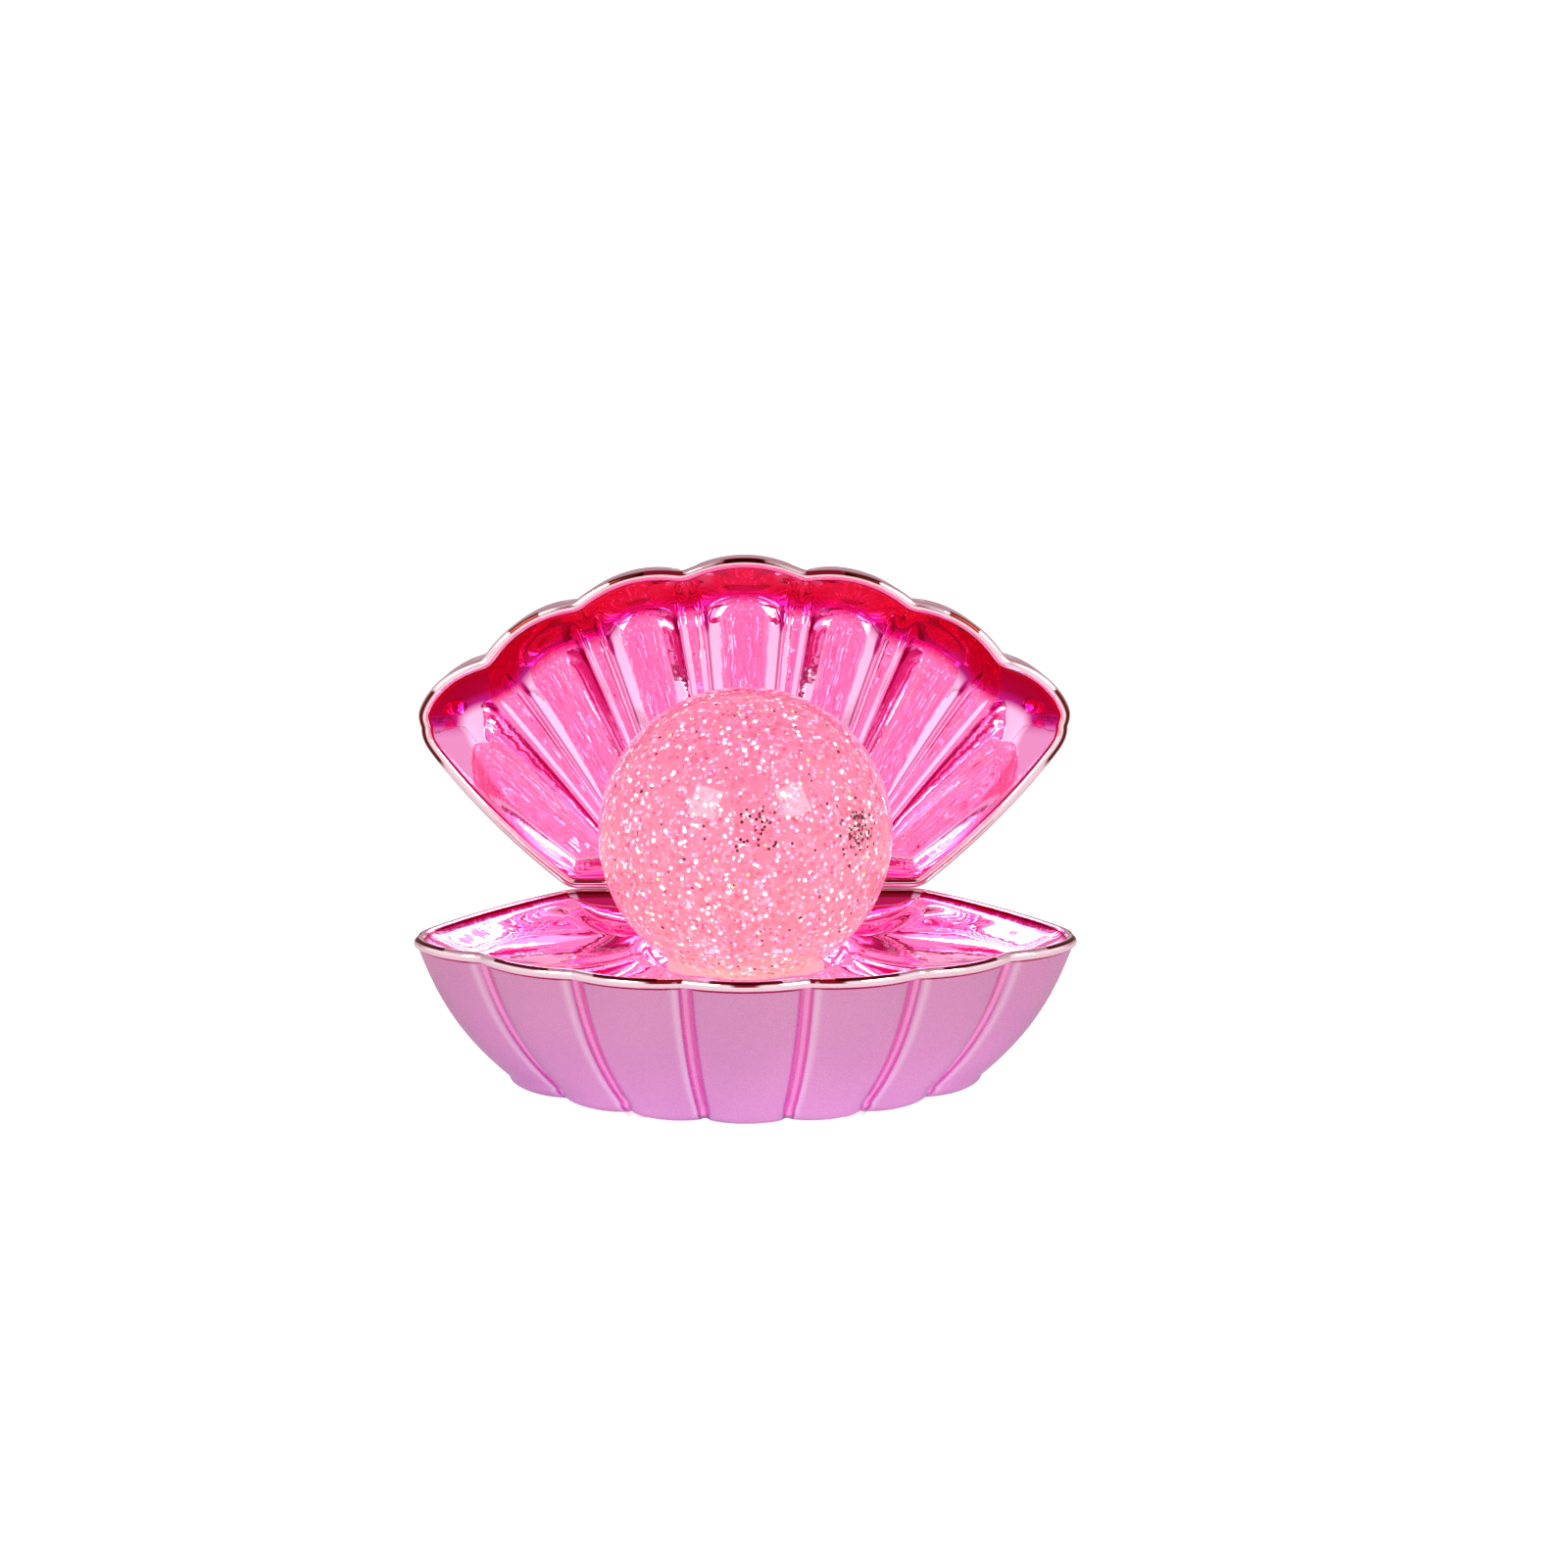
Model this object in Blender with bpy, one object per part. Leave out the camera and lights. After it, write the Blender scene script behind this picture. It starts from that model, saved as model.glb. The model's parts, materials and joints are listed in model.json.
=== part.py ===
"""Clam-shell glitter-globe mood lamp: a fluted base valve carries a water-filled globe on a lit seat,
a second fluted valve stands open behind it, and a stirring drive with its cells hides in the base.

World axes: +X along the hinge line, -Y towards the open front, +Z up.  Units are metres.
A valve is described in its own plane by (u, v, w): u along the hinge, v away from the hinge,
w into the depth of the valve, measured from the plane of its rim."""

import math

import bmesh
import bpy
import numpy as np
from mathutils import Matrix, Vector

MM = 0.001
GAP = 0.3                      # running clearance between neighbouring pieces

# ---- valve outline (mm) -----------------------------------------------------------------------
HINGE_HALF = 46.5              # half length of the straight hinge edge
CORNER = (87.4, 43.2)          # outer corner of a valve
NOTCHES = ((16.2, 85.1), (44.5, 77.1), (68.6, 61.9))   # dips between the seven lobes
CENTRE_BULGE = 3.7
LOBE_BULGE = 3.3
END_BULGE = 3.9
SIDE_BULGE = 2.2
SEGMENT_STEPS = (("hinge", 6), ("side", 4), ("end", 5), ("lobe", 6), ("lobe", 6), ("centre", 6),
                 ("lobe", 6), ("lobe", 6), ("end", 5), ("side", 4))
RIM_Z = 43.0                   # height of the base rim above the table
BEAD = 1.5                     # radius of the rolled rim

# ---- valve bodies (mm) ------------------------------------------------------------------------
SHELL_WALL = 1.9
LINER_WALL = 1.7
BASE_DEPTH = 41.0
LID_DEPTH = 33.0
FOOT_ROUND = 3.2               # rounding between the side wall and the flat back of a valve
LID_TILT = math.radians(3.5)
LID_Y = -3.0
LID_Z = RIM_Z + 0.2
LID_FLOOR = 23.5               # depth of the lid bowl at its deepest
LID_FLOOR_HINGE = 4.5          # depth of the lid bowl beside the hinge edge
LID_DEEPEST = 0.54             # where a channel is deepest, as a share from hinge to rim
LID_WALL_RUN = 1.75            # run of the lid's side wall for each unit of depth
FLUTE = 4.6                    # depth of a lid channel below the ridges beside it
FOOT_BULGE = 1.5               # how far the lobes swell past the tapered wall at the foot
BASE_TAPER = (0.70, 6.0, 0.82)     # width scale, rear shift and length scale of the flat back
LID_TAPER = (0.92, 5.0, 0.87)
DISH_DEPTH = 8.0

# ---- globe and seat (mm) ----------------------------------------------------------------------
AXIS_V = 43.0                  # globe axis, measured from the hinge edge
GLOBE_R = 38.0
GLOBE_WALL = 2.2
GLOBE_Z = RIM_Z + 26.5
NECK_R = 11.0
NECK_BORE = 8.5
NECK_Z = 31.0
SEAT_R = 27.0
SEAT_HOLE = 18.6

# ---- drive and cells (mm) ---------------------------------------------------------------------
MOTOR_R = 12.0
CELL_R = 5.2
CELL_LEN = 44.0
CELL_Z = 9.6
CELL_V = (29.4, 40.2, 51.0)
DOOR = (-30.0, 36.2, 22.6, 57.6)   # left, right, rear and front edges of the battery opening
DOOR_SCREW_X = 32.8
FEET = ((-27.0, 62.5), (27.0, 62.5), (-33.0, 17.4), (33.0, 17.4))
POSTS = ((-39.0, 48.0), (39.0, 48.0), (-23.0, 12.6), (23.0, 12.6))
LID_POSTS = ((-36.0, 48.0), (36.0, 48.0))
SWITCH = (41.5, 36.0)
FRAME_Y = 26.99                # moves the finished lamp so its origin is under the middle of its bounds

# surface finishes: colour, roughness, metallic, transmission
FINISHES = {
    "satin_pink": ((0.62, 0.33, 0.50), 0.35, 0.9, 0.0),
    "mirror_pink": ((0.88, 0.38, 0.60), 0.03, 1.0, 0.0),
    "clear_acrylic": ((0.98, 0.97, 0.98), 0.02, 0.0, 1.0),
    "glitter_liquid": ((1.0, 0.55, 0.66), 0.1, 0.0, 0.6),
    "white_plastic": ((0.90, 0.90, 0.88), 0.4, 0.0, 0.0),
    "seal_rubber": ((0.02, 0.02, 0.02), 0.7, 0.0, 0.0),
    "magnet": ((0.75, 0.75, 0.76), 0.2, 1.0, 0.0),
    "frosted_plastic": ((0.98, 0.93, 0.88), 0.5, 0.0, 0.5),
    "circuit_board": ((0.05, 0.25, 0.12), 0.4, 0.0, 0.0),
    "led_lens": ((1.0, 0.90, 0.70), 0.2, 0.0, 0.3),
    "black_plastic": ((0.03, 0.03, 0.03), 0.45, 0.0, 0.0),
    "spring_steel": ((0.75, 0.75, 0.74), 0.25, 1.0, 0.0),
    "cell_wrap": ((0.12, 0.12, 0.14), 0.35, 0.0, 0.0),
    "painted_bracket": ((0.60, 0.32, 0.48), 0.4, 0.6, 0.0),
    "clear_rubber": ((0.90, 0.88, 0.90), 0.3, 0.0, 0.6),
    "lead_red": ((0.70, 0.04, 0.04), 0.5, 0.0, 0.0),
    "lead_black": ((0.03, 0.03, 0.03), 0.5, 0.0, 0.0),
    "steel": ((0.60, 0.60, 0.62), 0.3, 1.0, 0.0),
}

# pieces that move, under the empty on their joint
MOVING = {
    "rotor": ((0.0, -AXIS_V, 26.0), ("motor_shaft", "magnet_carrier", "rotor_magnet_1",
                                     "rotor_magnet_2")),
    "stirring": ((0.0, -AXIS_V, 38.0), ("stirrer", "stirrer_magnet_1", "stirrer_magnet_2")),
    "switch": ((SWITCH[0], -SWITCH[1] + 2.0, 2.8), ("switch_knob",)),
    "door": ((DOOR_SCREW_X, -40.2, 3.0), ("battery_door", "door_screw")),
}


def clear_scene():
    for old in list(bpy.data.objects):
        bpy.data.objects.remove(old, do_unlink=True)


def material(name):
    """The named surface finish; cutters use a bare one."""
    found = bpy.data.materials.get(name)
    if found:
        return found
    finish = bpy.data.materials.new(name)
    if name in FINISHES:
        colour, roughness, metallic, clear = FINISHES[name]
        finish.use_nodes = True
        shader = finish.node_tree.nodes["Principled BSDF"]
        shader.inputs["Base Color"].default_value = (*colour, 1.0)
        shader.inputs["Roughness"].default_value = roughness
        shader.inputs["Metallic"].default_value = metallic
        shader.inputs["Transmission Weight"].default_value = clear
    return finish


def mesh_object(name, verts, faces, slot, smooth=False):
    """A named body from points in millimetres; every face carries the one slot."""
    mesh = bpy.data.meshes.new(name)
    mesh.from_pydata([Vector(v) * MM for v in verts], [], faces)
    bm = bmesh.new()
    bm.from_mesh(mesh)
    bmesh.ops.remove_doubles(bm, verts=bm.verts, dist=1e-7)
    bmesh.ops.recalc_face_normals(bm, faces=bm.faces)
    bm.to_mesh(mesh)
    bm.free()
    mesh.materials.append(material(slot))
    for face in mesh.polygons:
        face.use_smooth = smooth
    body = bpy.data.objects.new(name, mesh)
    bpy.context.scene.collection.objects.link(body)
    return body


def loft(name, rings, slot, ring_closed=False, smooth=True):
    """Skin equal-length rings; either capped at both ends or joined last to first."""
    count = len(rings[0])
    verts = [tuple(p) for ring in rings for p in ring]
    faces = []
    spans = len(rings) if ring_closed else len(rings) - 1
    for i in range(spans):
        a = i * count
        b = ((i + 1) % len(rings)) * count
        for j in range(count):
            k = (j + 1) % count
            faces.append((a + j, a + k, b + k, b + j))
    if not ring_closed:
        faces.append(tuple(range(count)))
        faces.append(tuple(range((len(rings) - 1) * count, len(rings) * count)))
    return mesh_object(name, verts, faces, slot, smooth)


def lathe(name, profile, slot, at=(0.0, 0.0), steps=32, smooth=True):
    """Turn a closed (r, z) profile about a vertical axis standing at (x, y)."""
    verts = []
    index = []
    for r, z in profile:
        if r < 1e-6:
            index.append([len(verts)] * steps)
            verts.append((at[0], at[1], z))
            continue
        index.append(list(range(len(verts), len(verts) + steps)))
        for j in range(steps):
            turn = 2.0 * math.pi * j / steps
            verts.append((at[0] + r * math.cos(turn), at[1] + r * math.sin(turn), z))
    faces = []
    for i in range(len(profile)):
        here = index[i]
        there = index[(i + 1) % len(profile)]
        for j in range(steps):
            k = (j + 1) % steps
            corners = []
            for vert in (here[j], here[k], there[k], there[j]):
                if vert not in corners:
                    corners.append(vert)
            if len(corners) > 2:
                faces.append(tuple(corners))
    return mesh_object(name, verts, faces, slot, smooth)


def cylinder(name, radius, z0, z1, slot, at=(0.0, 0.0), steps=16, smooth=True):
    return lathe(name, [(0.0, z0), (radius, z0), (radius, z1), (0.0, z1)], slot, at, steps, smooth)


def box(name, size, centre, slot, bevel=0.0):
    bm = bmesh.new()
    bmesh.ops.create_cube(bm, size=1.0)
    for vert in bm.verts:
        vert.co = Vector([(vert.co[i] * size[i] + centre[i]) * MM for i in range(3)])
    if bevel:
        bmesh.ops.bevel(bm, geom=bm.edges[:], offset=bevel * MM, segments=1, affect="EDGES")
    mesh = bpy.data.meshes.new(name)
    bm.to_mesh(mesh)
    bm.free()
    mesh.materials.append(material(slot))
    body = bpy.data.objects.new(name, mesh)
    bpy.context.scene.collection.objects.link(body)
    return body


def tube(name, path, radius, slot, sides=6):
    """A round bar swept along points, with flat ends."""
    points = [Vector(p) for p in path]
    rings = []
    side = None
    for i, point in enumerate(points):
        ahead = points[min(i + 1, len(points) - 1)] - points[max(i - 1, 0)]
        ahead.normalize()
        if side is None:
            side = ahead.orthogonal().normalized()
        side = (side - ahead * side.dot(ahead)).normalized()
        other = ahead.cross(side)
        ring = []
        for j in range(sides):
            turn = 2.0 * math.pi * j / sides
            ring.append(point + side * (radius * math.cos(turn)) + other * (radius * math.sin(turn)))
        rings.append(ring)
    return loft(name, rings, slot)


def smooth_path(corners, steps=5):
    """Catmull-Rom curve through a few corners."""
    knots = [Vector(c) for c in corners]
    knots = [2 * knots[0] - knots[1]] + knots + [2 * knots[-1] - knots[-2]]
    path = []
    for i in range(1, len(knots) - 2):
        a, b, c, d = knots[i - 1:i + 3]
        for j in range(steps):
            t = j / steps
            path.append(0.5 * (2 * b + (c - a) * t + (2 * a - 5 * b + 4 * c - d) * t * t
                               + (3 * b - a - 3 * c + d) * t ** 3))
    path.append(knots[-2])
    return path


def combine(body, others, operation):
    """Add or subtract helper bodies, then drop them."""
    for other in others:
        step = body.modifiers.new("solid", "BOOLEAN")
        step.operation = operation
        step.solver = "EXACT"
        step.object = other
    bpy.context.view_layer.update()
    result = bpy.data.meshes.new_from_object(body.evaluated_get(bpy.context.evaluated_depsgraph_get()))
    old = body.data
    body.modifiers.clear()
    body.data = result
    result.name = body.name
    bpy.data.meshes.remove(old)
    slot = result.materials[0]
    result.materials.clear()
    result.materials.append(slot)
    for face in result.polygons:
        face.material_index = 0
    for other in others:
        bpy.data.objects.remove(other, do_unlink=True)
    return body


# ---- valve geometry ---------------------------------------------------------------------------

def bowed(start, end, bulge, steps):
    """Points along a shallow arc that bows to the right of the walk; the end point is left out."""
    start, end = np.array(start), np.array(end)
    along = end - start
    outward = np.array((along[1], -along[0])) / np.linalg.norm(along)
    t = np.arange(steps)[:, None] / steps
    return start + along * t + outward * (4.0 * bulge * t * (1.0 - t))


def outline():
    """Rim outline as (point, fan position, flute phase), walked hinge, right side, lobes, left side.
    Fan position runs -1..1 across the valve; flute phase is 0 on a ridge and 0.5 in a channel."""
    right = [np.array(n) for n in NOTCHES]
    left = [np.array((-n[0], n[1])) for n in NOTCHES]
    hinge_r = np.array((HINGE_HALF, 0.0))
    hinge_l = np.array((-HINGE_HALF, 0.0))
    corner_r = np.array(CORNER)
    corner_l = np.array((-CORNER[0], CORNER[1]))
    stops = [hinge_l, hinge_r, corner_r, right[2], right[1], right[0],
             left[0], left[1], left[2], corner_l, hinge_l]
    bulge = {"hinge": 0.0, "side": SIDE_BULGE, "end": END_BULGE, "lobe": LOBE_BULGE,
             "centre": CENTRE_BULGE}
    fan = [-1.0, 1.0, 0.93, 5 / 7, 3 / 7, 1 / 7, -1 / 7, -3 / 7, -5 / 7, -0.93, -1.0]
    phase = [(0.0, 0.0), (0.0, 0.42), (0.42, 1.0), (0.0, 1.0), (0.0, 1.0), (0.0, 1.0),
             (0.0, 1.0), (0.0, 1.0), (0.0, 0.58), (0.58, 1.0)]
    soft = [1.6, 1.6, 5.0, 1.2, 1.2, 1.2, 1.2, 1.2, 1.2, 5.0, 1.6]
    fine = 18
    dense = []
    marks = []
    for i, (kind, steps) in enumerate(SEGMENT_STEPS):
        dense.append(bowed(stops[i], stops[i + 1], bulge[kind], steps * fine))
        for j in range(steps):
            t = j / steps
            near = max(0.0, 1.0 - 3.0 * t), max(0.0, 3.0 * t - 2.0)
            width = 1.0 + (soft[i] - 1.0) * near[0] + (soft[i + 1] - 1.0) * near[1]
            marks.append((fan[i] + (fan[i + 1] - fan[i]) * t,
                          phase[i][0] + (phase[i][1] - phase[i][0]) * t, width))
    dense = np.vstack(dense)
    step = np.linalg.norm(np.roll(dense, -1, axis=0) - dense, axis=1)
    run = np.concatenate(([0.0], np.cumsum(step)))
    total = run[-1]
    run = run[:-1]
    result = []
    for k, (position, flute, width) in enumerate(marks):
        away = np.abs(run - run[k * fine])
        away = np.minimum(away, total - away)
        weight = np.exp(-0.5 * (away / width) ** 2) * (step + np.roll(step, 1))
        result.append(((dense * weight[:, None]).sum(axis=0) / weight.sum(), position, flute))
    return result


RIM = outline()
RIM_POINTS = np.array([entry[0] for entry in RIM])
RIM_FAN = np.array([entry[1] for entry in RIM])
RIM_PHASE = np.array([entry[2] for entry in RIM])


def inward(points):
    """Unit inward directions of a ring walked with its inside on the left."""
    along = np.roll(points, -1, axis=0) - np.roll(points, 1, axis=0)
    along /= np.linalg.norm(along, axis=1)[:, None]
    return np.stack([-along[:, 1], along[:, 0]], axis=1)


RIM_IN = inward(RIM_POINTS)
CHANNEL = (np.sin(math.pi * RIM_PHASE) ** 2) ** 0.7


def inset(distance):
    return RIM_POINTS + RIM_IN * np.asarray(distance).reshape(-1, 1)


def base_place(points, depth):
    depth = np.broadcast_to(depth, len(points))
    return [(p[0], -p[1], RIM_Z - w) for p, w in zip(points, depth)]


def lid_point(u, v, w):
    """Valve coordinates of the standing lid to world millimetres."""
    lean, stand = math.sin(LID_TILT), math.cos(LID_TILT)
    return (u, LID_Y + w * stand + v * lean, LID_Z + v * stand - w * lean)


def lid_place(points, depth):
    depth = np.broadcast_to(depth, len(points))
    return [lid_point(p[0], p[1], w) for p, w in zip(points, depth)]


def smoothstep(t):
    t = np.clip(t, 0.0, 1.0)
    return t * t * (3.0 - 2.0 * t)


def taper_share(t):
    """How far a side wall has drawn in at the share t of its height."""
    return 0.55 * t + 0.45 * t ** 2.8


def tapered(points, share, taper):
    """Shrink a ring towards the outline of the flat back by the given share; the lobes swell."""
    width_scale, rear_shift, length_scale = taper
    goal = points * np.array((width_scale, length_scale)) + np.array((0.0, rear_shift))
    ring = points + (goal - points) * share
    return ring - inward(ring) * (FOOT_BULGE * share * CHANNEL)[:, None]


def valve_shell(name, place, depth, taper):
    """Satin outer valve: fluted side wall, rounded foot, flat back, hollow towards the rim."""
    straight = depth - FOOT_ROUND

    def ring(w, wall):
        points = tapered(RIM_POINTS, taper_share(min(w, straight) / straight), taper)
        turn = max(0.0, w - straight) / FOOT_ROUND
        extra = FOOT_ROUND * (1.0 - math.sqrt(max(0.0, 1.0 - turn * turn))) * 1.2
        return points + inward(points) * (0.12 + wall + extra)

    middle = tapered(RIM_POINTS, 1.0, taper) * 0.45
    middle = middle + np.array((0.0, AXIS_V * 0.55))
    rings = [place(middle, depth)]
    for w in (depth, depth - 0.08 * FOOT_ROUND, depth - 0.45 * FOOT_ROUND, straight, 0.80 * straight,
              0.55 * straight, 0.30 * straight, 2.0 * BEAD - 0.1):
        rings.append(place(ring(w, 0.0), w))
    for w in (2.0 * BEAD - 0.1, 0.36 * straight, 0.68 * straight, straight - 1.0,
              depth - SHELL_WALL - 0.5):
        rings.append(place(ring(w, SHELL_WALL), w))
    rings.append(place(middle, depth - SHELL_WALL - 0.5))
    return loft(name, rings, "satin_pink")


def rim_rings(place):
    """The rolled bead from its outside foot over the top to its inside foot."""
    rings = []
    for degrees in (-38, 0, 40, 90, 135):
        turn = math.radians(degrees)
        rings.append(place(inset(BEAD - BEAD * math.cos(turn)), BEAD - BEAD * math.sin(turn)))
    return rings


def bead_under(place):
    return [place(inset(2.6), 2.0 * BEAD - 0.35), place(inset(0.9), 2.0 * BEAD - 0.42)]


def rim_distance(points):
    """Distance from each point to the lip of the lid bowl."""
    lip = inset(2.0 * BEAD - 0.2)
    return np.linalg.norm(points[:, None, :] - lip[None, :, :], axis=2).min(axis=1)


def lid_bowl(way, wall=0.0):
    """Points and depths of the lid bowl, way running 0..1 from the hinge edge to the rim along the
    channels: a dished bed that turns up into a steep wall all round.  A wall gives the back face."""
    lip = inset(2.0 * BEAD - 0.2)
    knot = np.stack([RIM_FAN * 0.85 * HINGE_HALF, np.full(len(lip), 5.5)], axis=1)
    points = knot + (lip - knot) * way
    span = np.linalg.norm(lip - knot, axis=1)
    deepest = LID_FLOOR_HINGE + (LID_FLOOR - LID_FLOOR_HINGE) * (span / 80.0) ** 0.9
    fall = max(0.0, 1.0 - way / LID_DEEPEST) ** 2
    bed = deepest - (deepest - LID_FLOOR_HINGE) * fall
    away = rim_distance(points)
    climb = 1.0 - np.clip(1.0 - away / (LID_WALL_RUN * bed), 0.0, 1.0) ** 4
    depth = 1.2 + (bed - 1.2) * climb
    flute = FLUTE * (0.3 + 0.7 * smoothstep(way / 0.5)) * smoothstep(away / 10.0)
    depth = depth + flute * smoothstep(span / 45.0) * (CHANNEL - 0.5)
    if wall:
        depth = depth + wall + 1.3 * (1.0 - smoothstep(away / 12.0))
    return points, depth


def lid_liner():
    """Mirror liner of the lid: rolled rim, steep wall, dished bed with fanned channels."""
    path = (0.97, 0.92, 0.85, 0.76, 0.62, 0.46, 0.30, 0.16, 0.06)
    rings = []
    for way in reversed(path):
        rings.append(lid_place(*lid_bowl(way)))
    rings += reversed(rim_rings(lid_place))
    rings += reversed(bead_under(lid_place))
    for way in path[1:]:
        rings.append(lid_place(*lid_bowl(way, LINER_WALL)))
    return loft("lid_liner", rings, "mirror_pink")


def dish(share, extra=0.0):
    """Points and depths of the base dish between the rim (0) and the lip of the globe seat (1)."""
    axis = np.array((0.0, AXIS_V))
    start = inset(2.0 * BEAD - 0.2)
    out = start - axis
    reach = np.linalg.norm(out, axis=1)[:, None]
    goal = axis + out / reach * SEAT_R
    points = start + (goal - start) * share
    bowl = math.sin(math.pi * min(1.0, share * 1.05)) ** 0.8
    depth = 1.2 + (DISH_DEPTH - 1.2) * bowl * 0.62 + 3.3 * share
    flute = 4.6 * (CHANNEL - 0.5) * smoothstep(share * 4.0) * (1.0 - 0.85 * smoothstep(share))
    return points, depth + flute * smoothstep((reach[:, 0] - SEAT_R) / 30.0) + extra


def circle(radius, count_like):
    """A ring about the globe axis whose points follow the bearings of the rim points."""
    axis = np.array((0.0, AXIS_V))
    out = count_like - axis
    return axis + out / np.linalg.norm(out, axis=1)[:, None] * radius


def base_liner():
    """Mirror liner of the base: rolled rim, fluted dish, sunken seat with a light opening."""
    rings = rim_rings(base_place)
    shares = (0.10, 0.28, 0.50, 0.72, 0.90, 1.0)
    for share in shares:
        rings.append(base_place(*dish(share)))
    seat = ((25.2, 6.6), (22.4, 9.0), (20.9, 9.6), (SEAT_HOLE, 9.6))
    for radius, depth in seat:
        rings.append(base_place(circle(radius, RIM_POINTS), depth))
    for radius, depth in ((SEAT_HOLE, 11.2), (22.0, 11.0), (26.4, 7.2)):
        rings.append(base_place(circle(radius, RIM_POINTS), depth))
    for share in reversed(shares[1:-1]):
        rings.append(base_place(*dish(share, LINER_WALL)))
    rings += bead_under(base_place)
    return loft("base_liner", rings, "mirror_pink", ring_closed=True)


def axis_at(u=0.0, v=0.0):
    """World (x, y) of a point given from the globe axis, v still towards the front."""
    return (u, -(AXIS_V + v))


def lid_drill(name, radius, u, v, w0, w1, steps=14):
    """A straight pin through the lid along its depth direction."""
    rings = []
    for w in (w0, w1):
        ring = []
        for j in range(steps):
            turn = 2.0 * math.pi * j / steps
            ring.append(lid_point(u + radius * math.cos(turn), v + radius * math.sin(turn), w))
        rings.append(ring)
    return loft(name, rings, "satin_pink", smooth=False)


def stepped_pin(name, place_ring, stations, slot):
    """A screw: rings of (radius, position) along an axis."""
    rings = [place_ring(radius, position) for radius, position in stations]
    return loft(name, rings, slot, smooth=False)


def build_valves():
    shell = valve_shell("base_shell", base_place, BASE_DEPTH, BASE_TAPER)
    lid = valve_shell("lid_shell", lid_place, LID_DEPTH, LID_TAPER)
    dish_liner = base_liner()
    bowl_liner = lid_liner()
    return shell, lid, dish_liner, bowl_liner


def build_globe():
    bottom = math.sqrt(GLOBE_R ** 2 - NECK_R ** 2)
    inner_r = GLOBE_R - GLOBE_WALL
    start = math.asin(NECK_R / GLOBE_R)
    profile = [(NECK_BORE, NECK_Z), (NECK_R, NECK_Z), (NECK_R, GLOBE_Z - bottom)]
    bands = 12
    for i in range(1, bands + 1):
        turn = start + (math.pi - start) * i / bands
        profile.append((GLOBE_R * math.sin(turn), GLOBE_Z - GLOBE_R * math.cos(turn)))
    inner_start = math.asin(NECK_BORE / inner_r)
    for i in range(bands, -1, -1):
        turn = inner_start + (math.pi - inner_start) * i / bands
        profile.append((inner_r * math.sin(turn), GLOBE_Z - inner_r * math.cos(turn)))
    profile = [(0.0 if r < 1e-6 else r, z) for r, z in profile]
    lathe("globe", profile, "clear_acrylic", axis_at(), 28)

    fluid_r = inner_r - 0.8
    well_r, well_z = 11.6, 42.4
    low_turn = math.asin(well_r / fluid_r)
    fluid = [(0.0, well_z), (well_r, well_z), (well_r, GLOBE_Z - fluid_r * math.cos(low_turn))]
    for i in range(1, 11):
        turn = low_turn + (math.pi - low_turn) * i / 10
        fluid.append((fluid_r * math.sin(turn), GLOBE_Z - fluid_r * math.cos(turn)))
    fluid[-1] = (0.0, GLOBE_Z + fluid_r)
    lathe("glitter_liquid", fluid, "glitter_liquid", axis_at(), 24)

    lathe("globe_plug", [(0.0, 29.4), (10.4, 29.4), (10.4, 30.8), (6.9, 30.8), (6.9, 35.6),
                         (0.8, 35.6), (0.8, 32.6), (0.0, 32.6)], "white_plastic", axis_at(), 24)
    lathe("globe_seal", [(7.1, 31.6), (8.3, 31.6), (8.3, 34.6), (7.1, 34.6)], "seal_rubber",
          axis_at(), 24)
    lathe("stirrer_pin", [(0.0, 32.9), (0.55, 32.9), (0.55, 41.2), (0.0, 41.2)], "steel",
          axis_at(), 10)
    hub = lathe("stirrer", [(0.95, 36.2), (3.2, 36.2), (3.2, 40.6), (0.95, 40.6)], "white_plastic",
                axis_at(), 20)
    bar = box("bar", (17.6, 4.6, 3.4), (0.0, -AXIS_V, 38.2), "white_plastic")
    slot = box("slot", (20.0, 2.6, 2.0), (0.0, -AXIS_V, 37.0), "white_plastic")
    bore = cylinder("bore", 0.95, 35.0, 42.0, "white_plastic", axis_at(), 20)
    combine(hub, [bar], "UNION")
    combine(hub, [slot, bore], "DIFFERENCE")
    for i, side in enumerate((-1, 1), 1):
        box(f"stirrer_magnet_{i}", (5.2, 2.2, 1.5), (side * 6.0, -AXIS_V, 37.0), "magnet")

    seat = [(18.0, 30.6), (18.0, 33.7), (20.4, 33.7), (20.4, 34.4)]
    for i in range(5):
        r = 17.6 + (NECK_R + 0.5 - 17.6) * i / 4
        seat.append((r, GLOBE_Z - math.sqrt((GLOBE_R + GAP) ** 2 - r * r) - 0.03))
    seat.append((NECK_R + 0.5, 30.6))
    lathe("light_seat", seat, "frosted_plastic", axis_at(), 28)


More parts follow.
